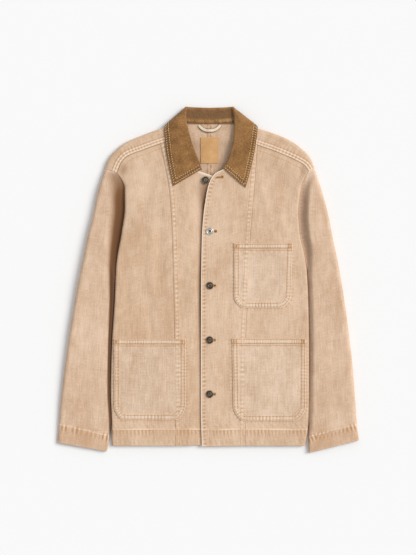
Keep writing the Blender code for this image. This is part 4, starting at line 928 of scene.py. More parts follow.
def front_relief(half, x, y, centre):
    """Small heights of a front: hem, panel seam, drawn-up cloth and the pull round the pockets."""
    relief = Relief(x, y)
    seam = PANEL_SEAM[half.side]
    s, d = seam.near(x, y, 40)
    if centre:
        lap = np.abs(d)
        above_hem = 0.15 + 0.85 * ease((y - HEM_LINE_Y) / 8)
        relief.height += 0.5 * ease((12.5 - lap) / 3.0) * above_hem
        wave = waves(s, 10.0, 1.7 + half.side)
        close = hump(lap - 6.6, 4.4) * above_hem
        relief.height += close * 0.42 * wave - 0.12 * hump(lap - 9.2, 1.1) * above_hem
        relief.wear += close * (0.8 * wave + 0.4) + 0.2 * hump(lap, 1.6) * above_hem
        relief.wear -= above_hem * 0.2 * hump(lap - 12.2, 1.8) * (0.6 + 0.4 * wave)
    else:
        away = np.abs(d)
        relief.wear -= 0.3 * hump(away, 1.6)
        relief.height -= 0.1 * hump(away, 2.0)
    # The hem is drawn up along its one row, in upright ridges that die away below it.
    down = HEM_LINE_Y - y
    relief.height += 0.85 * ease((down + 1.5) / 2.5)
    rope = waves(x - 0.12 * down, 8.2, 5.0 + half.side)
    crease = (0.5 - 0.5 * rope) ** 2.2
    band = hump(np.clip(down - 3.5, 0, None), 9.5) * ease((down + 0.5) / 1.5)
    relief.height += band * 0.4 * rope - 0.35 * hump(down - 1.8, 1.1)
    relief.wear += band * (0.3 * rope + 0.1 - 0.95 * crease)
    relief.wear += 1.05 * hump(down + 0.6, 1.2) + 0.5 * hump(down - 36, 1.6)
    low_ripple = hump(down - 30, 7) * waves(x + 0.3 * y, 11.0, 7.0)
    relief.height += 0.22 * low_ripple
    relief.wear += 0.3 * low_ripple
    ripple = 0.4 * hump(down + 9, 6.5) * waves(x + 0.8 * y, 13.0, 8.0)
    relief.height += ripple
    relief.wear += ripple
    relief.wear -= 0.12 * ease(down / 4)
    relief.wear -= 0.22 * ease((-60 - x) / 50) * ease((y + 190) / 60) * ease((150 - y) / 60)
    relief.wear += 0.12 * ease((x - 110) / 40) * ease((y - 20) / 60)
    # Round the pockets the cloth is drawn by their stitching.
    for pocket in POCKETS.values():
        if pocket[0] != half.side:
            continue
        outline = Line(pocket_outline(pocket))
        s, d = outline.near(x, y, 16)
        close = hump(np.abs(d) - 2.5, 3.6)
        wave = waves(s, 8.0, 3.0 + pocket[5] / 50)
        relief.height += close * 0.3 * wave
        relief.wear += close * (0.45 * wave - 0.1)
    return relief


side_parts = {}
for half in (RIGHT, LEFT):
    mark = seam_mark(half)
    rows = rows_from(STEP)

    def across(width):
        width = np.asarray(width)[:, None]
        flat = np.linspace(0, 1, 55)[None] * (1 - SIDE_ROLL / width)
        return np.concatenate([flat[:, :-1], 1 - SIDE_ROLL * arc_steps(6)[None] / width], axis=1)

    end = lambda r: half.line(rise(r, HEM_Y, UNDERARM_Y, half.line_top))
    plan = panel_grid(half.panel, end, lambda c: half.seam(mark + (1 - mark) * c), across, rows, 0.62)
    x, y = plan[..., 0], plan[..., 1]
    relief = front_relief(half, x, y, False)
    z = half.front_z(x, y)
    edge = end(rows)
    settle = roll(half.side * (edge[:, :1] - x), 9.0)
    z = z + relief.height * settle
    z[:, -1] = edge[:, 2]
    grid = np.stack([x, y, z], axis=-1)
    grid[:, -1] = edge
    # Painted shade along the forward seam, and on the side edge where it rolls down into the gap above the
    # sleeve.
    seam = line_on(half.seam, 160)
    relief.edge(seam, 0.0, 2.2, wear=-0.7)
    side_gap = half.side * (edge[:, :1] - x)
    deep = 0.85 * (1 - ease((side_gap - 0.25) / 1.3)) * ease((190 - y) / 30)
    # Under the end of the forward seam, a patch of painted shade for the hollow there.
    end_x, end_y, depth = (-190.0, 249.0, 0.45) if half.side < 0 else (219.0, 247.0, 0.3)
    deep = np.maximum(deep, depth * np.exp(-(((x - end_x) / 9.0) ** 2) - ((y - end_y) / 13.0) ** 2))
    cloth = Cloth()
    cloth.add(grid, half.side < 0, relief.wear, deep=deep)
    piece = cloth.build("side_front_cloth" + half.name, body_denim)
    side_parts[half.side] = (piece, grid)
    declare(piece, 0.09, ["side_front" + half.name])

# ---------------------------------------------------------------- centre fronts
# The wearer's left front laps over the right one, carries the buttonholes and is sewn down close to its
# edge. The right one carries the buttons.

BUTTONS = {
    # name: x, y, whether it is done up
    "button_1": (-4.5, 225.4, False),
    "button_2": (5.2, 109.6, True),
    "button_3": (5.2, -13.8, True),
    "button_4": (4.8, -137.3, True),
    "button_5": (4.8, -260.1, True),
}
UNDER_EDGE = ((24.0, -376), (24.0, -100), (24.0, 231))
OVER_EDGE = ((-13, -379.5), (-15, -294), (-14.8, -24), (-13, 92), (-10.2, 136), (-5, 179), (1.8, 214),
             (10.2, 232.7), (19, 242), (35, 249.5))
# Depth and width of the painted shadow that the over front's edge casts on the under front.
UNDER_SHADE = curve((-376, -228, -120, -46, 90, 124, 146, 169, 192, 214, 230, 240), (
    (0.35, 2.6), (0.45, 3.0), (0.8, 4.8), (1.05, 6.2), (0.75, 5.2), (0.65, 6.6), (0.75, 7.2), (1.05, 9.6),
    (0.9, 15.0), (0.75, 18.0), (0.35, 14.0), (0.0, 8.0)))

EDGE_STEPS = (0, 0.004, 0.011)   # close steps at the free edge, before the even ones
EVEN_STEPS = 40
centre_parts = {}
for half, free_edge in ((RIGHT, UNDER_EDGE), (LEFT, OVER_EDGE)):
    mark = seam_mark(half)
    rows = rows_from(STEP)
    corner = np.array(free_edge[-1], float)
    neck_start = half.neck_front(0.0)

    def neck_line(t):
        t = t[:, None]
        start = corner + (neck_start - corner) * t / NECK_START
        return np.where(t < NECK_START, start, half.neck_front((t[:, 0] - NECK_START) / (1 - NECK_START)))

    def top(c):
        seam = half.seam(mark * np.clip(c - FRONT_NECK_SHARE, 0, None) / (1 - FRONT_NECK_SHARE))
        return np.where((c <= FRONT_NECK_SHARE + 1e-9)[:, None], neck_line(c / FRONT_NECK_SHARE), seam)

    steps = np.concatenate([EDGE_STEPS, np.linspace(0, 1, EVEN_STEPS + 1)[1:]])
    across = lambda width: np.broadcast_to(steps, (len(width), len(steps)))
    plan = panel_grid(path(free_edge), half.panel, top, across, rows, 0.66)
    x, y = plan[..., 0], plan[..., 1]
    relief = front_relief(half, x, y, True)
    edge_line = line_on(path(free_edge), 200)
    s, d = edge_line.near(x, y, 60)
    d = np.abs(d)
    wave = waves(s, 8.8, 2.2 + half.side)
    close = hump(d - 7.0, 3.6)
    relief.height += 0.5 * ease((60 - d) / 12) * (half.side > 0)
    relief.height += close * 0.5 * wave - 0.35 * hump(d - 8.4, 1.1)
    relief.wear += close * (1.0 * wave + 0.3) + 2.6 * hump(d, 1.9)
    relief.wear -= close * 0.55 * (0.5 - 0.5 * wave) ** 2.2 + 0.25 * hump(d - 3.4, 1.3)
    facing = hump(d - 60, 3.0) * (half.side > 0)
    relief.wear += 0.15 * facing - 0.2 * hump(d - 64, 3.0) * (half.side > 0)
    # The edge's corner at the neck and the free part of the neck edge are rubbed pale.
    free_neck = Line(np.array([corner, neck_start]))
    relief.edge(free_neck, 0.5, 3.4, wear=2.4, size=0.8)
    deep = np.zeros_like(x)
    if half.side < 0:
        # The under front sinks away behind the edge of the other one, most of all near the neck, and that
        # edge's shadow is painted on it.
        over_d = line_on(path(OVER_EDGE), 200).near(x, y, 60)[1]
        behind = np.clip(over_d, -3, None)
        near_neck = ease((y - 60) / 90) * ease((222 - y) / 30)
        relief.height -= (0.9 + 1.3 * near_neck) * hump(behind - 1, 9.0)
        level, width = np.moveaxis(UNDER_SHADE(y), -1, 0)
        deep = level * np.exp(-((np.clip(behind, 0, None) / width) ** 2.4)) * (over_d < 900)
    # Along the neck seam and under the collar the cloth is drawn up too.
    neck = line_on(half.neck_front, 60)
    s, d = neck.near(x, y, 20)
    close = hump(d, 5.0)
    relief.height += close * 0.3 * waves(s, 8.0, 4.0)
    z = half.front_z(x, y) + relief.height
    grid = np.stack([x, y, z], axis=-1)
    cloth = Cloth()
    cloth.add(grid, half.side < 0, relief.wear, deep=deep)
    piece = cloth.build("centre_front_cloth" + half.name, body_denim)
    centre_parts[half.side] = (piece, grid)
    declare(piece, 0.07, ["centre_front" + half.name])

# ---------------------------------------------------------------- sleeves
# Each sleeve is cut in one piece, closed by a felled seam at its inner fold and turned up at the cuff.
# It is pressed flat and drawn down beside the body, its inner part under the body's side.

FOLD_SHARE = 0.83                # share of the armhole's rows that is in front of the shoulder fold
SLEEVE_TUCK_TOP = 4.1            # height of the sleeve's part that is under the body's side
SLEEVE_CLEAR = 5.0               # way out from the body's side to where the sleeve is free of it
SLEEVE_ROW_LEAN = 25.0           # rise of a row from the armhole to the outer fold
LOW_SLEEVE_ROWS = 158            # rows below the underarm
sleeve_denim = denim("washed_denim_sleeve", (0.575, 0.375, 0.24), (0.765, 0.565, 0.415))
CUFF_SEAM = {-1: Line([(-338, -329.5), (-280, -341.5), (-216, -357.5)]),
             1: Line([(214, -362), (280, -343.5), (342, -328.5)])}
CUFF_EDGE = {-1: Line([(-342, -370.7), (-229, -391)]), 1: Line([(230.5, -394.5), (344.5, -366)])}
SLEEVE_FOLDS = {
    -1: ((-245, 215, -262, 60, 12, 0.9), (-232, 130, -250, -30, 10, -0.6),
         (-270, 90, -288, -60, 10, -0.5), (-262, 0, -285, -180, 14, 0.9),
         (-240, -60, -262, -230, 11, -0.6), (-300, -120, -312, -260, 9, 0.7),
         (-270, -200, -285, -330, 12, 0.6), (-236, -250, -250, -340, 10, 0.7),
         (-296, -270, -304, -350, 9, -0.4)),
    1: ((258, 200, 268, 90, 10, 0.8), (240, 160, 262, -20, 10, -0.6), (280, 60, 292, -80, 10, 0.7),
        (262, -20, 282, -170, 13, 0.8), (300, -60, 312, -200, 9, -0.5),
        (250, -110, 268, -240, 11, -0.6), (285, -190, 300, -330, 12, 0.8),
        (246, -240, 262, -345, 10, 0.7), (318, -230, 326, -340, 8, -0.4)),
}

# Painted shade on the sleeve in the valley beside the body, for the body's shadow: how far out it is full,
# where it ends, and how deep.
VALLEY_SHADE = {
    -1: curve((-390, -273, -160, -46, 10, 67, 124, 180, 203, 232, 248), (
        (3.5, 7, 1.2), (4, 8, 1.4), (5, 9, 1.5), (7, 13.5, 1.5), (7.5, 18, 1.4), (9, 28, 1.35),
        (11, 36, 1.3), (12, 40, 1.2), (12, 42, 1.0), (10, 34, 0.65), (8, 20, 0.0))),
    1: curve((-390, -319, -251, -183, -115, -46, 21, 60, 90, 158, 203, 225, 248), (
        (3, 10, 0), (3, 12, 0), (3, 12, 0), (7, 13, 0.15), (9, 16, 0.08), (9, 17, 0), (3, 16, 0.15),
        (12, 22, 0.25), (16, 22, 0.32), (17, 23, 0.36), (16, 22, 0.3), (12, 18, 0.1), (8, 12, 0.0))),
}

sleeve_parts = {}
for half in (RIGHT, LEFT):
    low_y = UNDERARM_Y + SLEEVE_ROW_LEAN
    back_rows, wrap_rows = back_parts[half.side][1:]
    shoulder = wrap_rows[0, -1]
    # Starts of the rows at the armhole: over the front armhole and the wrap, and under it.
    line_ys = np.linspace(UNDERARM_Y, half.line_top, 86)
    over_front = half.line(line_ys)
    wrap_edge = wrap_rows[::-1, -1][1:]
    wrapped = lengths(np.vstack([over_front[-1:], wrap_edge]))
    shares = np.concatenate([FOLD_SHARE * (line_ys - UNDERARM_Y) / (half.line_top - UNDERARM_Y),
                             FOLD_SHARE + (1 - FOLD_SHARE) * wrapped[1:] / wrapped[-1]])
    over = np.vstack([over_front, wrap_edge])
    under_marks = np.interp(shares, [0, 0.06, FOLD_SHARE, 1], [0, 0.05, 0.86, 1])
    under = half.armhole(under_marks)
    under[-1] = over[-1] = shoulder
    fold_y = low_y + (shoulder[1] - low_y) * shares
    folds = np.column_stack([half.outer_x(fold_y), fold_y])
    t = np.linspace(1, 0, LOW_SLEEVE_ROWS + 1)[:-1]
    inner = half.inner(t)
    cuff = half.outer(1.0)
    fold_low_y = low_y + (cuff[1] - low_y) * t
    over = np.vstack([inner, over])
    under = np.vstack([inner, under])
    folds = np.vstack([np.column_stack([half.outer_x(fold_low_y), fold_low_y]), folds])

    def spread(marks, counts):
        """Distances between given marks, each stretch in its own number of steps."""
        parts = [marks[:, k:k + 1] + (marks[:, k + 1:k + 2] - marks[:, k:k + 1])
                 * np.linspace(0, 1, n + 1)[None, :-1] for k, n in enumerate(counts)]
        return np.concatenate(parts + [marks[:, -1:]], axis=1)

    def layer(starts, on_top):
        gap = folds - starts[:, :2]
        width = np.linalg.norm(gap, axis=1)
        if on_top:
            edge = half.line(np.minimum(starts[:, 1], half.line_top))
            tucked = half.side * (edge[:, 0] - starts[:, 0])
            clear = np.maximum(tucked + SLEEVE_CLEAR, 6.0)
            swell = half.sleeve_rise(starts[:, 1])
            far = (24.0, 14.0, 6.0, 2.0, 0.0)
            scale = np.minimum(1.0, width / (np.maximum(clear + swell, tucked + 12) + 1.4 * far[0]))
            tuck_end = np.maximum(tucked - 2.5, 3.6)
            near = [0 * clear, 3.0 + 0 * clear, tuck_end, tuck_end + 9.0,
                    np.maximum(clear + swell, tuck_end + 14)]
            marks = np.stack([m * scale for m in near] + [width - f * scale for f in far], axis=1)
            distance = spread(marks, (2, 4, 7, 5, 16, 4, 4, 4, 3))
        else:
            far = (10.0, 4.0, 1.2, 0.0)
            scale = np.minimum(1.0, width / (width / 3 + 14.0))
            near = [0 * width, 3.0 + 0 * width, width / 3]
            marks = np.stack([m * scale for m in near] + [width - f * scale for f in far], axis=1)
            distance = spread(marks, (2, 6, 12, 3, 3, 2))
        share = distance / np.maximum(width, 1e-6)[:, None]
        plan = starts[:, None, :2] + gap[:, None] * share[..., None]
        x, y = plan[..., 0], plan[..., 1]
        fold = half.sleeve_top(y) * 0.42
        reach = half.side * (half.outer_x(y) - x)
        relief = Relief(x, y)
        cuff_seam, cuff_edge = CUFF_SEAM[half.side], CUFF_EDGE[half.side]
        s, d = cuff_seam.near(x, y, 60)
        down = -d
        wave = waves(s + 0.1 * d, 8.8, 4.0 + half.side + on_top)
        crease = (0.5 - 0.5 * wave) ** 2.2
        close = hump(np.clip(np.abs(down - 4) - 1.5, 0, None), 6.5)
        relief.height += 0.8 * ease((down + 1.2) / 2.4) * (np.abs(down) < 60)
        relief.height += close * 0.45 * wave - 0.3 * hump(down - 2.2, 1.2)
        relief.wear += close * (0.75 * wave + 0.1 - 0.9 * crease)
        relief.wear += 1.1 * hump(down, 1.3) * (0.75 + 0.25 * wave)
        relief.wear -= 0.3 * ease((down - 2) / 4) * (np.abs(down) < 60)
        relief.wear += 0.25 * (half.side > 0) * ease((y - 40) / 90)
        s, d = cuff_edge.near(x, y, 20)
        relief.wear += 0.5 * hump(d, 2.2)
        relief.height += 0.3 * hump(d, 6.0) * waves(s, 9.0, 6.0)
        if on_top:
            edge = half.line(np.minimum(y, half.line_top))
            out = half.side * (x - edge[..., 0])
            low = SLEEVE_TUCK_TOP + (edge[..., 2] - SLEEVE_TUCK_TOP) * ease((y + 20) / 32)
            upper = ease(y / 90)
            if half.side < 0:
                rise_start = -1.5 + 3.5 * upper
                rise_width = 6.0 + (half.sleeve_rise(y) * 1.5 - 6.0) * upper
            else:
                rise_start = -4.0 + 13.0 * upper
                rise_width = 15.0
            top = low + (half.sleeve_top(y) - low) * ease((out - rise_start) / rise_width)
            top = top - 3.0 * hump(out - 4.0, 6.0) * upper * ease((225 - y) / 30)
            z = fold + (top - fold) * roll(reach, 9.0)
            relief.height -= crease_depth(x, y, SLEEVE_FOLDS[half.side], beat=29)
            # The armhole seam is turned towards the body and draws the sleeve's head up.
            armhole = Line(half.line(np.linspace(60, half.line_top, 120)))
            s, d = armhole.near(x, y, 24)
            close = hump(np.abs(d) - 4, 4.5)
            relief.wear += close * 0.4 * waves(s, 9.0, 2.0)
            z = z + relief.height * ease((out - 2) / 8) * ease(reach / 10)
            # Painted shadow of the body on the sleeve.
            flat, end, level = np.moveaxis(VALLEY_SHADE[half.side](y), -1, 0)
            deep = level * (1 - ease((out - flat) / (end - flat)))
            # The sleeve's head, where the armhole seam comes over the shoulder.
            head = hump(distance, 2.6) * ease((y - 232) / 14)
            relief.wear += head * (0.9 + 0.5 * waves(y + x, 7.0, 3.0))
        else:
            z = fold * (1 - roll(reach, 10.0))
            z = z + np.clip(relief.height * 0.6, 0, None) * ease(reach / 8)
            deep = np.zeros_like(x)
        z[:, 0] = starts[:, 2]
        grid = np.stack([x, y, z], axis=-1)
        grid[:, 0] = starts
        grid[width < 1e-3] = shoulder
        return grid, relief.wear, deep

    top_grid, top_wear, top_painted_shade = layer(over, True)
    under_grid, under_wear, _ = layer(under, False)
    under_grid[:, -1] = top_grid[:, -1]
    cloth = Cloth()
    cloth.add(top_grid, half.side < 0, top_wear, deep=top_painted_shade)
    cloth.add(under_grid, half.side > 0, under_wear, shift=(160.0, 0.0))
    piece = cloth.build("sleeve_cloth" + half.name, sleeve_denim)
    sleeve_parts[half.side] = (piece, top_grid)
    declare(piece, 0.137, ["sleeve" + half.name])

# ---------------------------------------------------------------- collar
# Two layers sewn round their edge: brown fine cord on top and denim underneath. It stands up from the
# neck seam, rolls over and falls flat, and its back fall is pressed under the back's neck.

COLLAR_PLY = 1.1                 # wall of each of the two layers
COLLAR_HALF_GAP = 0.25           # from either layer to the middle between them
COLLAR_SKIN = COLLAR_PLY + COLLAR_HALF_GAP
COLLAR_ROWS = {
    # share of the neck seam, roll x y z, edge x y z, turn in degrees, arch
    -1: ((0.00, -13.4, 249.0, 13.6, -78.1, 211.6, 16.3, 0, 1.0),
         (0.12, -19.0, 265.0, 14.6, -82.0, 229.0, 16.6, 0, 1.8),
         (0.28, -28.5, 288.0, 15.2, -88.5, 261.0, 17.0, 0, 2.4),
         (0.44, -37.0, 312.0, 15.3, -93.5, 292.0, 17.2, 0, 2.6),
         (0.56, -44.5, 341.0, 15.0, -96.5, 321.0, 17.0, 8, 2.4),
         (0.63, -49.5, 366.0, 14.2, -97.5, 338.0, 17.0, 20, 2.0),
         (0.67, -50.0, 382.0, 12.2, -96.5, 347.0, 14.0, 50, 1.4),
         (0.70, -49.0, 391.5, 8.8, -92.6, 352.8, 8.0, 90, 0.6),
         (0.735, -43.0, 391.3, 5.4, -88.5, 349.0, 2.3, 140, 0.2),
         (0.79, -35.0, 390.8, 4.0, -75.0, 340.5, 2.0, 165, 0.0),
         (0.88, -18.0, 390.2, 3.65, -42.0, 333.5, 1.75, 180, 0.0),
         (1.00, CENTRE_X, 389.5, 3.65, CENTRE_X, 330.5, 1.75, 180, 0.0)),
    1: ((0.00, 34.8, 251.4, 14.2, 86.3, 208.6, 16.6, 0, 1.0),
        (0.12, 43.0, 263.0, 14.9, 92.0, 228.0, 16.8, 0, 1.8),
        (0.28, 51.5, 283.0, 15.2, 100.5, 262.0, 17.0, 0, 2.4),
        (0.44, 58.5, 310.0, 15.3, 107.0, 292.0, 17.2, 0, 2.6),
        (0.56, 61.5, 338.0, 15.0, 111.0, 319.0, 17.0, 8, 2.4),
        (0.63, 61.5, 364.0, 14.2, 113.0, 336.0, 17.0, 20, 2.0),
        (0.67, 59.5, 382.0, 12.2, 113.5, 344.0, 14.0, 50, 1.4),
        (0.70, 58.0, 391.5, 8.8, 110.5, 349.6, 8.0, 90, 0.6),
        (0.735, 51.5, 391.3, 5.4, 104.0, 346.5, 2.3, 140, 0.2),
        (0.79, 44.0, 390.8, 4.0, 86.0, 340.0, 2.0, 165, 0.0),
        (0.88, 27.0, 390.2, 3.65, 51.0, 333.5, 1.75, 180, 0.0),
        (1.00, CENTRE_X, 389.5, 3.65, CENTRE_X, 330.5, 1.75, 180, 0.0)),
}
FOLD_MARK = 0.70                 # share of the neck seam at which it reaches the shoulder fold
STAND_STEPS, BOW_STEPS = 11, 8

collar_halves = []
for half in (RIGHT, LEFT):
    centre_grid = centre_parts[half.side][1]
    back_rows, wrap_rows = back_parts[half.side][1:]
    read = curve([r[0] for r in COLLAR_ROWS[half.side]], [r[1:] for r in COLLAR_ROWS[half.side]])
    first, last = [len(EDGE_STEPS) - 1 + int(round(EVEN_STEPS * FRONT_NECK_SHARE * share))
                   for share in (NECK_START, 1)]
    front = centre_grid[-1, first:last + 1].copy()
    front[:, 2] = half.front_z(front[:, 0], front[:, 1])
    corners = np.vstack([front, wrap_rows[::-1, 0][1:], back_rows[-1, BACK_NECK_STEPS - 1::-1]])
    fold = len(front) + len(wrap_rows) - 2
    along = lengths(corners)
    marks = np.where(np.arange(len(corners)) <= fold, FOLD_MARK * along / along[fold],
                     FOLD_MARK + (1 - FOLD_MARK) * (along - along[fold]) / (along[-1] - along[fold]))
    shares = np.concatenate([np.linspace(0, 0.6, 62), np.linspace(0.6, 0.8, 41)[1:],
                             np.linspace(0.8, 1, 26)[1:]])
    point = np.stack([np.interp(shares, marks, corners[:, i]) for i in range(3)], axis=1)
    value = read(shares)
    apex, edge, turn, arch = value[:, 0:3], value[:, 3:6], np.radians(value[:, 6]), value[:, 7]
    neck = point.copy()
    neck[:, 2] -= COLLAR_SKIN * np.cos(turn)
    neck[:, 0] -= half.side * (COLLAR_SKIN + 0.6) * np.sin(turn)
    neck[:, 1] += 0.6 * np.sin(turn)
    radius = (2.25 - 0.35 * ease(np.degrees(turn) / 180))[:, None]
    inward = np.array((-half.side, 0.0, 0.0))
    lean = ease(np.degrees(turn) / 90)[:, None]
    fall_way = edge - apex
    fall_way[:, 2] = 0
    out = inward * (1 - lean) + np.array((0.0, 1.0, 0.0)) * lean
    out = out - 0.35 * (1 - lean) * fall_way / np.linalg.norm(fall_way, axis=1)[:, None]
    out /= np.linalg.norm(out, axis=1)[:, None]
    to_stand = np.array((0.0, 0.0, -1.0)) * np.cos(turn)[:, None] + inward * np.sin(turn)[:, None]
    centre = apex - out * radius
    stand_side = centre + to_stand * radius
    fall_side = centre - to_stand * radius
    arch = arch[:, None]
    middle = (fall_side + edge) / 2 - to_stand * arch
    quarter = (fall_side + middle) / 2 - to_stand * arch * 0.35
    last_mark = (middle + edge) / 2 - to_stand * arch * 0.3
    # Across one section: the stand, half a turn round the roll, and the fall.
    stand = [neck + (stand_side - neck) * t for t in np.linspace(0, 1, STAND_STEPS + 1)[:-1]]
    bow = [centre + (to_stand * math.cos(a) + out * math.sin(a)) * radius
           for a in np.linspace(0, math.pi, BOW_STEPS + 1)[:-1]]
    knots = np.stack([fall_side, quarter, middle, last_mark, edge], axis=1)
    fall = []
    for t in np.concatenate([np.linspace(0, 0.93, 24), [0.955, 0.975, 0.99, 1.0]]):
        k = min(int(t * 4), 3)
        s = t * 4 - k
        before, here, there, beyond = [knots[:, min(max(k + j, 0), 4)] for j in (-1, 0, 1, 2)]
        slope_a = (there - before) / (1 if k == 0 else 2)
        slope_b = (beyond - here) / (1 if k == 3 else 2)
        fall.append(here * (1 + 2 * s) * (1 - s) ** 2 + there * s * s * (3 - 2 * s)
                    + slope_a * s * (1 - s) ** 2 - slope_b * s * s * (1 - s))
    rows = np.stack(stand + bow + fall, axis=1)
    collar_halves.append(rows)

collar_grid = np.concatenate([collar_halves[0], collar_halves[1][::-1][1:]])
count_rows, count_columns = collar_grid.shape[:2]

# Distances from the free edge, from the two ends and along the collar, for the stitching and its pull.
from_edge = np.zeros((count_rows, count_columns))
steps = np.linalg.norm(np.diff(collar_grid, axis=1), axis=2)
from_edge[:, :-1] = np.cumsum(steps[:, ::-1], axis=1)[:, ::-1]
edge_along = lengths(collar_grid[:, -1])
run = np.broadcast_to(edge_along[:, None], from_edge.shape)
half_way = np.linalg.norm(np.diff(collar_grid, axis=0), axis=2)
from_front = np.zeros_like(from_edge)
from_front[1:] = np.cumsum(half_way, axis=0)
from_end = np.zeros_like(from_edge)
from_end[:-1] = np.cumsum(half_way[::-1], axis=0)[::-1]
ends = np.minimum(from_front, from_end)
from_sewn = np.minimum(from_edge, ends)
from_neck = np.zeros_like(from_edge)
from_neck[:, 1:] = np.cumsum(steps, axis=1)

# The roll line and the stand are not drawn up by the edge's stitches.
teeth = np.where(from_edge < ends, run, from_edge)
wave = waves(teeth, 5.4, 2.0)
pull = hump(from_sewn - 6.5, 4.5)
rows_pull = hump(from_sewn - 3.4, 1.1) + hump(from_sewn - 10.4, 1.1)
ridge = 0.6 * wave * pull - 0.4 * rows_pull - 0.35 * hump(from_sewn - 6.9, 1.3)
soft = 0.5 * np.sin(run / 31.0) * np.sin(from_edge / 19.0) * ease((from_sewn - 12) / 12)
neck_wave = 0.5 * waves(from_front, 8.0, 5.0) + 0.6 * waves(from_front, 21.0, 2.0)
neck_pull = hump(from_neck - 4.0, 4.0)
collar_normals = point_normals(collar_grid.reshape(-1, 3), grid_faces(count_rows, count_columns, True))
collar_normals = collar_normals.reshape(collar_grid.shape)

shade = Shade("brown_fine_cord")
grain = shade.node("UVMap", {"uv_map": "grain"})
place = shade.node("TexCoord", out=3)
wear = shade.field("wear")
cloudy = shade.noise(place, 28.0, 3.0, 0.6)
nap = shade.noise(place, 320.0, 3.0, 0.65)
fibre = shade.noise(shade.stretched(grain, (150.0, 900.0, 1.0)), 1.0, 2.0, 0.6)
wale = shade.ribs(grain, "Y", 190.0, 0.5, {"Detail": 1.0, "Detail Scale": 2.0})
brushed = ((cloudy - 0.5) * 2.2 + (nap - 0.5) * 1.9 + (fibre - 0.5) * 1.1 + (wale - 0.5) * 0.22
           + wear * 0.6 + 0.5)
colour = shade.mix(brushed.between(0.0, 1.0), (0.175, 0.082, 0.025), (0.385, 0.195, 0.070))
colour = shade.mix(((wear - 0.3) * 0.8).between(0.0, 1.0), colour, (0.56, 0.36, 0.18))
# Painted shade where the deep field asks for it.
colour = shade.mix(shade.field("deep").between(0.0, 1.0), colour, (0.115, 0.068, 0.04))
cord_finish = shade.finish(colour, 0.95, wale * 0.5 + nap * 0.7 + fibre * 0.4, 0.0006, 0.6,
                           Sheen_Weight=0.25, Sheen_Roughness=0.5, Specular_IOR_Level=0.15)

row = np.arange(count_rows)[:, None]
behind = ease((row - 60) / 30) * ease((count_rows - 61 - row) / 30)
# Wear: the drawn-up edge, the pressed rows and the two soft bands inside the neck; the wearer's left half
# is painted lighter, as the side towards the light.
collar_wear_and_light = (pull * (1.9 * wave - 0.45) - 0.9 * hump(from_sewn, 1.3) + neck_pull * neck_wave * 0.4
               + 0.42 * ease((collar_grid[..., 0] - CENTRE_X) / 40) - 0.12)
collar_wear_and_light -= 0.5 * hump(from_sewn - 6.9, 1.2) + 0.5 * hump(from_sewn - 12.4, 1.2) * (0.5 - 0.5 * wave)
collar_wear_and_light += behind * (0.5 * hump(from_neck - 37, 2.5) + 0.5 * hump(from_neck - 6.5, 3.2))
# Painted shade in the troughs of the drawn-up edge, and on the inside of the stand at the back, most of all
# along the neck seam.
collar_painted_shade = pull * 0.75 * np.clip(-1.4 * wave - 0.1, 0, 1)
collar_painted_shade += behind * 0.5 * (1 - ease((from_neck - 28) / 7)) * ease((from_neck - 8) / 4)
collar_painted_shade += behind * 0.7 * hump(from_neck, 2.4) * (0.6 - 0.4 * neck_wave)
collar_face = ridge + soft * 0.6 + neck_pull * 0.3 * neck_wave
upper = collar_grid + collar_normals * (COLLAR_SKIN + collar_face)[..., None]
cloth = Cloth()
cloth.add(upper, True, collar_wear_and_light, COLLAR_PLY + collar_face, deep=collar_painted_shade)
upper_collar = cloth.build("collar_cord_top", cord_finish, tuck=0.2, inner_painted_shade=0.0)
declare(upper_collar, 0.037, ["collar_upper"])
cloth = Cloth()
under_skin = collar_grid - collar_normals * COLLAR_HALF_GAP
cloth.add(under_skin, True, 0.5 * wave * pull + 0.5 * hump(from_sewn, 1.6), COLLAR_PLY)
under_collar = cloth.build("collar_denim_under", body_denim, tuck=-0.5)
declare(under_collar, 0.037, ["collar_under"])

# ---------------------------------------------------------------- patch pockets
# Three patches of the same denim. Each has a deep turned top hem between two rows, rounded lower
# corners and two rows round its edge.

front_pieces = [parts[side][0] for parts in (side_parts, centre_parts) for side in (1, -1)]
pocket_denim = denim("washed_denim_pocket", (0.55, 0.37, 0.242), (0.78, 0.595, 0.445), fade=0.06)
POCKET_CREASES = {
    "pocket_chest": ((66, 74, 98, 36, 5, 1.1), (98, 40, 104, -30, 7, 0.9), (80, 60, 84, -30, 8, -0.4),
                     (150, 60, 158, -40, 14, 0.6), (120, 20, 116, -52, 9, -0.4)),
    "pocket_right": ((-208, -152, -110, -148, 4, 0.9), (-204, -158, -160, -176, 7, 0.5),
                     (-150, -170, -156, -290, 16, 0.8), (-110, -165, -104, -280, 14, -0.5),
                     (-190, -200, -194, -290, 9, 0.5), (-88, -190, -84, -300, 9, 0.5)),
    "pocket_left": ((66, -150, 150, -154, 5, 0.9), (70, -156, 84, -230, 10, 0.9),
                    (90, -160, 130, -200, 9, 0.6), (100, -230, 104, -300, 8, 0.6),
                    (150, -170, 158, -290, 15, 0.6), (190, -180, 196, -300, 10, -0.4)),
}

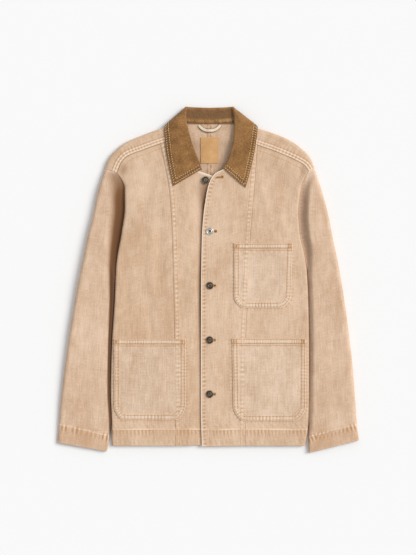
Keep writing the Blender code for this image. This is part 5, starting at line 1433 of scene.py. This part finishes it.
pocket_pieces = {}
for name, pocket in POCKETS.items():
    side, left, right, _, _, top, bottom, _, corner_y = pocket
    half = LEFT if side > 0 else RIGHT
    ys = np.concatenate([[top, top - 0.3, top - 0.9], np.arange(top - 2.2, bottom + corner_y, -2.3),
                         bottom + corner_y * (1 - np.linspace(0, 1, 16) ** 0.8)])
    lefts, rights = pocket_sides(pocket, ys)
    shares = np.concatenate([[0, 0.002, 0.007], np.linspace(0.016, 0.984, 62), [0.993, 0.998, 1]])
    x = lefts[:, None] + (rights - lefts)[:, None] * shares[None]
    y = np.broadcast_to(ys[:, None], x.shape)
    outline = Line(pocket_outline(pocket))
    s, d = outline.near(x, y, 400)
    d = np.abs(d)
    relief = Relief(x, y)
    # Turned seam allowance round the edge, and the top hem.
    relief.height += 0.55 * ease((13.0 - d) / 3.5) - 0.7 * hump(d, 0.8)
    wave = waves(s, 7.4, 2.0 + top / 40)
    low_part = ease((bottom + corner_y + 6 - y) / 12)
    close = hump(d - 6.2, 4.2) * (0.55 + 0.65 * low_part)
    relief.height += close * 0.42 * wave
    relief.height -= 0.28 * hump(d - 2.0, 0.9) + 0.28 * hump(d - 10.5, 0.9)
    relief.wear += close * (0.9 * wave + 0.25) + 1.5 * hump(d, 1.5)
    relief.wear -= (1.15 * hump(d - 2.4, 1.1) + 1.0 * hump(d - 10.6, 1.2)) * (0.75 - 0.35 * wave)
    relief.wear += 0.35 * hump(d - 13.4, 1.6)
    down = top - y
    in_hem = ease((13.6 - down) / 2.0)
    relief.height += 0.9 * in_hem
    hem_wave = waves(x, 6.0, 6.0 + top / 70)
    close = hump(down - 7.0, 3.6)
    relief.height += close * 0.42 * hem_wave
    relief.height -= 0.25 * hump(down - 2.2, 0.9) + 0.3 * hump(down - 11.6, 0.9)
    relief.wear += close * (1.0 * hem_wave + 0.45) + 1.5 * hump(down, 1.5)
    relief.wear -= 1.15 * hump(down - 11.8, 1.2) + 0.95 * hump(down - 2.5, 1.1)
    relief.wear += 0.5 * hump(down - 13.8, 1.1) - 0.7 * hump(down - 16.2, 1.5)
    # Bar tacks at the top corners rub and soil the cloth round them.
    for corner in (left + 7.0, right - 7.0):
        tack = np.exp(-(((x - corner) / 5.0) ** 2) - ((down - 6.5) / 5.0) ** 2)
        relief.wear -= 0.9 * tack
        relief.height += 0.3 * tack
    below = hump(down - 20, 7)
    relief.height += below * 0.4 * waves(x + 0.7 * y, 12.0, 9.0)
    # The panel seam stands out through the patch.
    seam = PANEL_SEAM[side]
    s, d_seam = seam.near(x, y, 40)
    lap = d_seam * side
    through = hump(lap - 7.0, 5.5) * ease((d - 6) / 5)
    seam_wave = waves(s, 10.0, 1.7 + side)
    relief.height += 0.4 * through + 0.3 * through * seam_wave
    relief.wear += through * (0.75 * seam_wave + 0.2)
    relief.height -= crease_depth(x, y, POCKET_CREASES[name], 1.8, 21, 0.25) * ease((d - 8) / 8)
    base = half.front_z(x, y) + np.where(y < HEM_LINE_Y, 0.8, 0.0)
    z = base + 0.35 + DENIM + np.clip(relief.height, -0.8, 3.0)
    grid = np.stack([x, y, z], axis=-1)
    cloth = Cloth()
    cloth.add(grid, True, relief.wear, DENIM + np.clip(relief.height, -0.6, 3.0) + 0.3)
    piece = cloth.build(name + "_cloth", pocket_denim)
    pocket_pieces[name] = piece
    size = (abs(right - left) * MM, (top - bottom) * MM)
    declare(piece, round(size[0] * size[1] * 0.97, 4),
            [name])

# ---------------------------------------------------------------- neck label
# A woven patch on the inside of the back, left bare, sewn down round its edge.

back_ground = Ground([back_parts[1][0], back_parts[-1][0]])
label_left, label_right, label_low, label_high = -15.5, 24.5, 264.5, 323.1
label_x = np.linspace(label_left, label_right, 42)
label_y = np.linspace(label_low, label_high, 60)
grid = np.zeros((len(label_y), len(label_x), 3))
for i, y in enumerate(label_y):
    for j, x in enumerate(label_x):
        grid[i, j] = (x, y, back_ground.at(x, y)[0])
x, y = grid[..., 0], grid[..., 1]
inset = np.minimum(np.minimum(x - label_left, label_right - x), np.minimum(y - label_low, label_high - y))
lift = 0.35 + 0.9 - 0.35 * hump(inset - 1.8, 0.9) + 0.12 * np.sin(x / 7) * np.sin(y / 9)
smooth_z = grid[..., 2].copy()
for _ in range(80):
    padded_z = np.pad(smooth_z, 1, mode="edge")
    smooth_z = (padded_z[:-2, 1:-1] + padded_z[2:, 1:-1] + padded_z[1:-1, :-2] + padded_z[1:-1, 2:]) / 4
grid[..., 2] = smooth_z + max((grid[..., 2] - smooth_z).max(), 0.0) * 0.7 + lift
shade = Shade("bare_label")
grain = shade.node("UVMap", {"uv_map": "grain"})
place = shade.node("TexCoord", out=3)
weft = shade.ribs(grain, "Y", 420.0, 0.6)
warp = shade.ribs(grain, "X", 420.0, 0.6)
cloudy = shade.noise(place, 60.0, 3.0, 0.6)
tone = (cloudy - 0.5) * 1.2 + (weft - 0.5) * 0.2 + (warp - 0.5) * 0.2 + shade.field("wear") * 0.5 + 0.5
colour = shade.mix(tone.between(0.0, 1.0), (0.55, 0.285, 0.11), (0.74, 0.45, 0.21))
label_finish = shade.finish(colour, 0.75, weft * warp + cloudy * 0.4, 0.0002, 0.5, Specular_IOR_Level=0.25)
cloth = Cloth()
cloth.add(grid, False, 0.6 * hump(inset, 1.2) - 0.5 * hump(inset - 2.2, 1.0), 0.9)
label = cloth.build("neck_label_patch", label_finish, tuck=0.1)
declare(label, 0.00272, ["neck_label"])

# ---------------------------------------------------------------- hanger loop
# A narrow folded tape caught in the neck seam at both ends, hanging in a shallow bow.

LOOP_HALF_WIDTH = 4.25
share_out = np.sin(np.linspace(-math.pi / 2, math.pi / 2, 61))
loop_x = 5.0 + 24.5 * share_out
middle_y = 351.0 - 12.6 * (1 - np.abs(share_out) ** 2.6)
bow = 1 - share_out ** 2
tilt = np.arctan2(np.gradient(middle_y), np.gradient(loop_x))
spread_across = np.linspace(-1, 1, 13)
grid = np.zeros((61, 13, 3))
for i in range(61):
    for j, u in enumerate(spread_across):
        px = loop_x[i] - u * LOOP_HALF_WIDTH * math.sin(tilt[i])
        py = middle_y[i] + u * LOOP_HALF_WIDTH * math.cos(tilt[i])
        base = back_ground.at(px, py)[0]
        round_top = 0.55 * math.sqrt(max(1 - u ** 4, 0)) - 0.25 * math.exp(-((abs(u) - 0.68) / 0.12) ** 2)
        grid[i, j] = (px, py, base + 0.35 + 2.0 * bow[i] + 1.0 + round_top)
for _ in range(3):
    grid[1:-1, :, 2] = (grid[:-2, :, 2] + grid[1:-1, :, 2] * 2 + grid[2:, :, 2]) / 4
shade = Shade("cream_tape")
grain = shade.node("UVMap", {"uv_map": "grain"})
rib = shade.ribs(grain, "Y", 330.0, 1.0)
cloudy = shade.noise(shade.node("TexCoord", out=3), 90.0, 3.0, 0.6)
tone = (cloudy - 0.5) * 1.3 + (rib - 0.5) * 0.4 + shade.field("wear") * 0.5 + 0.55
colour = shade.mix(tone.between(0.0, 1.0), (0.66, 0.47, 0.31), (0.88, 0.76, 0.62))
# Painted shade where the deep field asks for it: the tape's edges.
colour = shade.mix(shade.field("deep").between(0.0, 1.0), colour, (0.15, 0.07, 0.028))
tape_finish = shade.finish(colour, 0.85, rib + cloudy * 0.4, 0.0002, 0.6)
cloth = Cloth()
# Painted shadow along both edges of the tape.
edge_shade = np.broadcast_to(-0.7 * hump(np.abs(spread_across) - 0.7, 0.15)[None], (61, 13))
loop_edge_shade = np.broadcast_to(ease((np.abs(spread_across) - 0.62) / 0.25)[None], (61, 13))
cloth.add(grid, True, edge_shade, 1.5, deep=loop_edge_shade)
loop = cloth.build("hanger_loop_tape", tape_finish, tuck=0.1)
declare(loop, 0.00056, ["hanger_loop"])

# ---------------------------------------------------------------- buttons
# Five jeans-type shank buttons: a stamped cap with a raised rim, a sunk ring and a centre boss, on a
# tack that goes through the under front. The second has lost its dark finish.


def antique(name, dark, bright, polish):
    """Blackened brass, rubbed bright on its high places."""
    shade = Shade(name)
    place = shade.node("TexCoord", out=3)
    spots = shade.noise(place, 900.0, 4.0, 0.65)
    haze = shade.noise(place, 260.0, 3.0, 0.6)
    high = shade.field("wear")
    rub = ((spots - 0.5) * 1.6 + (haze - 0.5) * 1.2 + high * 0.85 + polish).between(0.0, 1.0)
    colour = shade.mix(rub, dark, bright)
    rough = 0.56 - rub * 0.22
    return shade.finish(colour, rough, spots, 0.00006, 0.5, Metallic=0.85)


dark_metal = antique("dark_antique_metal", (0.07, 0.045, 0.028), (0.50, 0.42, 0.33), -0.12)
bright_metal = antique("rubbed_metal", (0.10, 0.085, 0.07), (0.78, 0.74, 0.68), 0.25)
# Rings of a button from the foot up: radius, height over the foot in shares of shank and cap, and wear.
RINGS = ((2.0, 0.0, 0, -1.0), (2.0, 1.0, 0, -1.0), (7.4, 1.0, 0, -0.5), (8.15, 1.0, 0.35, 0.0),
         (8.5, 1.0, 1.1, 0.7), (8.45, 1.0, 1.9, 0.9), (8.15, 1.0, 2.55, 1.0), (7.6, 1.0, 2.95, 1.0),
         (7.0, 1.0, 3.05, 0.8), (6.5, 1.0, 2.85, 0.1), (6.1, 1.0, 2.4, -0.7), (5.7, 1.0, 2.2, -0.9),
         (4.9, 1.0, 2.25, -0.5), (4.3, 1.0, 2.5, 0.1), (3.7, 1.0, 2.8, 0.6), (3.1, 1.0, 2.85, 0.5),
         (2.6, 1.0, 2.6, -0.4), (2.2, 1.0, 2.4, -0.8), (1.7, 1.0, 2.5, 0.0), (1.2, 1.0, 2.75, 0.7),
         (0.6, 1.0, 2.85, 0.9), (0.12, 1.0, 2.87, 0.9))
CAP_HEIGHT = 3.2
BEADS = 20
for name, (x, y, done) in BUTTONS.items():
    low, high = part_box(name)
    foot, crown = low[2] / MM - 0.6, high[2] / MM
    shank = crown - CAP_HEIGHT - foot
    bpy.ops.object.select_all(action="DESELECT")
    bpy.ops.mesh.primitive_circle_add(vertices=56, radius=RINGS[0][0] * MM, fill_type="NGON",
                                      location=(0, 0, 0))
    button = bpy.context.object
    button.name = name + "_metal"
    bpy.ops.object.mode_set(mode="EDIT")
    bpy.ops.mesh.select_mode(type="FACE")
    bpy.ops.mesh.select_all(action="SELECT")
    reach, level = RINGS[0][0], 0.0
    for radius, share, rise_mm, _ in RINGS[1:]:
        height = share * shank + rise_mm
        bpy.ops.mesh.extrude_region_move(TRANSFORM_OT_translate={"value": (0, 0, (height - level) * MM)})
        bpy.ops.transform.resize(value=(radius / reach, radius / reach, 1),
                                 center_override=(0, 0, height * MM))
        reach, level = radius, height
    bpy.ops.mesh.select_all(action="SELECT")
    bpy.ops.mesh.normals_make_consistent(inside=False)
    bpy.ops.object.mode_set(mode="OBJECT")
    mesh = button.data
    co = mesh_points(mesh)
    # A stamped ring of small beads between the rim and the boss.
    reach = np.hypot(co[:, 0], co[:, 1]) / MM
    angle = np.arctan2(co[:, 1], co[:, 0])
    beads = hump(reach - 5.2, 0.8) * (co[:, 2] / MM > shank + 1.5)
    co[:, 2] += beads * 0.12 * MM * np.cos(BEADS * angle)
    wear = np.interp(-reach, [-r[0] for r in RINGS[5:]], [r[3] for r in RINGS[5:]])
    wear = np.where(co[:, 2] / MM < shank + 0.9, -0.8, wear) + beads * 0.3 * np.cos(BEADS * angle)
    if name == "button_2":
        wear = np.where(reach < 2.6, -1.1, np.maximum(wear, 0.35))
    else:
        wear = np.where(reach > 5.5, wear * 0.45, np.where(reach < 3.0, 0.25, wear))
    spin = 0.7 + x
    turned_x = co[:, 0] * math.cos(spin) - co[:, 1] * math.sin(spin)
    turned_y = co[:, 0] * math.sin(spin) + co[:, 1] * math.cos(spin)
    co = np.column_stack([turned_x + x * MM, turned_y + y * MM, co[:, 2] + foot * MM])
    mesh.vertices.foreach_set("co", co.ravel())
    add_field(mesh, "wear", wear)
    mesh.shade_smooth()
    mesh.materials.clear()
    mesh.materials.append(bright_metal if name == "button_2" else dark_metal)
    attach(button, "root")
    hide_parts(name)

# ---------------------------------------------------------------- stitching
# Thick tan thread on every edge and seam, paler on the shoulder, and close satin stitches round the
# buttonholes and across the pocket corners.

all_tops = Ground(front_pieces + list(pocket_pieces.values())
                  + [parts[side][0] for parts in (sleeve_parts, back_parts) for side in (1, -1)])
centre_left_ground = Ground([centre_parts[1][0]])
tan = Stitches()
pale = Stitches()
over_line = line_on(path(OVER_EDGE), 200)
centre_left_ground.lay(tan, over_line.moved(-8.2))
for offset in (-BACK_ROW_OUT, BACK_ROW_OUT):
    back_ground.lay(tan, Line([(CENTRE_X + offset, 232), (CENTRE_X + offset, 352)]), thick=0.9)
for half in (RIGHT, LEFT):
    seam = PANEL_SEAM[half.side]
    all_tops.lay(tan, seam.moved(half.side * 9.2))
    all_tops.lay(tan, seam.moved(half.side * 2.4), thick=0.5)
    shoulder_seam = line_on(half.seam, 160)
    all_tops.lay(pale, shoulder_seam.moved(-half.side * 2.6))
    all_tops.lay(tan, shoulder_seam.moved(-half.side * 11.0))
    all_tops.lay(tan, CUFF_SEAM[half.side].moved(-2.2))
all_tops.lay(tan, HEM_LINE.moved(-1.8))
pocket_ground = Ground(list(pocket_pieces.values()))
for name, pocket in POCKETS.items():
    for inset in (2.4, 10.6):
        pocket_ground.lay(tan, Line(pocket_outline(pocket, inset)), thick=0.95)
    left, right, top = pocket[1], pocket[2], pocket[5]
    for drop in (2.4, 11.8):
        pocket_ground.lay(tan, Line([(left + 1.5, top - drop), (right - 1.5, top - drop)]), thick=0.95)
    for corner in (left + 5.5, right - 5.5):
        for k in range(9):
            y = top - 2.6 - k * 1.05
            pocket_ground.lay(tan, Line([(corner - 2.6, y), (corner + 2.6, y - 0.3)]), pitch=5.2, gap=0.1)
collar_thread = thread("gold_thread", (0.66, 0.38, 0.16), (0.90, 0.66, 0.38))
COLLAR_STITCH = {"pitch": 5.4, "thick": 1.7, "gap": 1.5}
brown = Stitches()
for inset in (3.6, 10.8):
    rows = []
    for i in range(count_rows):
        k = np.interp(inset, from_edge[i, ::-1], np.arange(count_columns)[::-1])
        f = int(min(k, count_columns - 2))
        rows.append((upper[i, f] + (upper[i, f + 1] - upper[i, f]) * (k - f), collar_normals[i, f]))
    keep = [row for i, row in enumerate(rows) if ends[i, -1] > inset]
    brown.row(*map(np.array, zip(*keep)), **COLLAR_STITCH)
    for end_rows in (range(count_rows // 2), range(count_rows - 1, count_rows // 2, -1)):
        line = []
        for j in range(STAND_STEPS + BOW_STEPS, count_columns):
            if from_edge[0 if end_rows[0] == 0 else -1, j] < inset:
                continue
            gaps = np.array([(from_front if end_rows[0] == 0 else from_end)[i, j] for i in end_rows])
            i = end_rows[int(np.argmin(np.abs(gaps - inset)))]
            line.append((upper[i, j], collar_normals[i, j]))
        if len(line) > 2:
            brown.row(*map(np.array, zip(*line)), **COLLAR_STITCH)
brown.build("collar_stitches", collar_thread, "collar_cord")

# Buttonholes: a slit with an eye, cut through the over front and bound with close satin stitches.
SATIN_PITCH = 0.66
UPWARDS = np.array((0.0, 0.0, 1.0))
satin = Stitches()


def bind(start, end, z, thick):
    """One flat satin stitch between two places in plan."""
    satin.stitch(np.array((*start, z)), np.array((*end, z)), UPWARDS, thick)


over_front = centre_parts[1][0]
bpy.ops.object.select_all(action="DESELECT")
cutters = []
for x, y in [(x + 7.2, y) for x, y, done in BUTTONS.values() if done] + [(27.0, 232.0)]:
    slope = 0.12 if y > 200 else 0.0
    eye = 6.3 if y > 90 else 4.2
    lean_x, lean_y = math.cos(slope), math.sin(slope)

    def placed(along, out):
        """Place along the slit from its middle and out from it."""
        return x + along * lean_x - out * lean_y, y + along * lean_y + out * lean_x

    for side in (-1, 1):
        for k in range(22):
            along = eye - 14.9 + k * SATIN_PITCH
            z = centre_left_ground.at(*placed(along, side * 1.3))[0] + 0.25
            bind(placed(along, side * 0.3), placed(along + 0.1, side * 2.3), z, 0.9)
    for k in range(25):
        angle = math.radians(-140 + k * 280 / 24)
        spoke = [placed(eye + radius * math.cos(angle), radius * math.sin(angle))
                 for radius in (1.3, 2.6, 3.9)]
        z = centre_left_ground.at(*spoke[1])[0] + 0.25
        bind(spoke[0], spoke[2], z, 0.95)
    z = centre_left_ground.at(x, y)[0] * MM
    cut_x, cut_y = placed(eye - 7.5, 0.0)
    bpy.ops.mesh.primitive_cube_add(size=1.0, location=(cut_x * MM, cut_y * MM, z), rotation=(0, 0, slope),
                                    scale=(0.0146, 0.0009, 0.006))
    cutters.append(bpy.context.object)
    cut_x, cut_y = placed(eye, 0.0)
    bpy.ops.mesh.primitive_cylinder_add(vertices=20, radius=0.0014, depth=0.006,
                                        location=(cut_x * MM, cut_y * MM, z))
    cutters.append(bpy.context.object)
for cutter in cutters:
    slit = over_front.modifiers.new("slit", "BOOLEAN")
    slit.operation = "DIFFERENCE"
    slit.solver = "EXACT"
    slit.object = cutter
    bpy.context.view_layer.objects.active = over_front
    bpy.ops.object.modifier_apply(modifier=slit.name)
    bpy.data.objects.remove(cutter)
tan.build("tan_stitches", tan_thread)
pale.build("pale_stitches", pale_thread)
hole_thread = thread("buttonhole_thread", (0.46, 0.235, 0.075), (0.66, 0.39, 0.16))
satin.build("buttonhole_stitches", hole_thread)
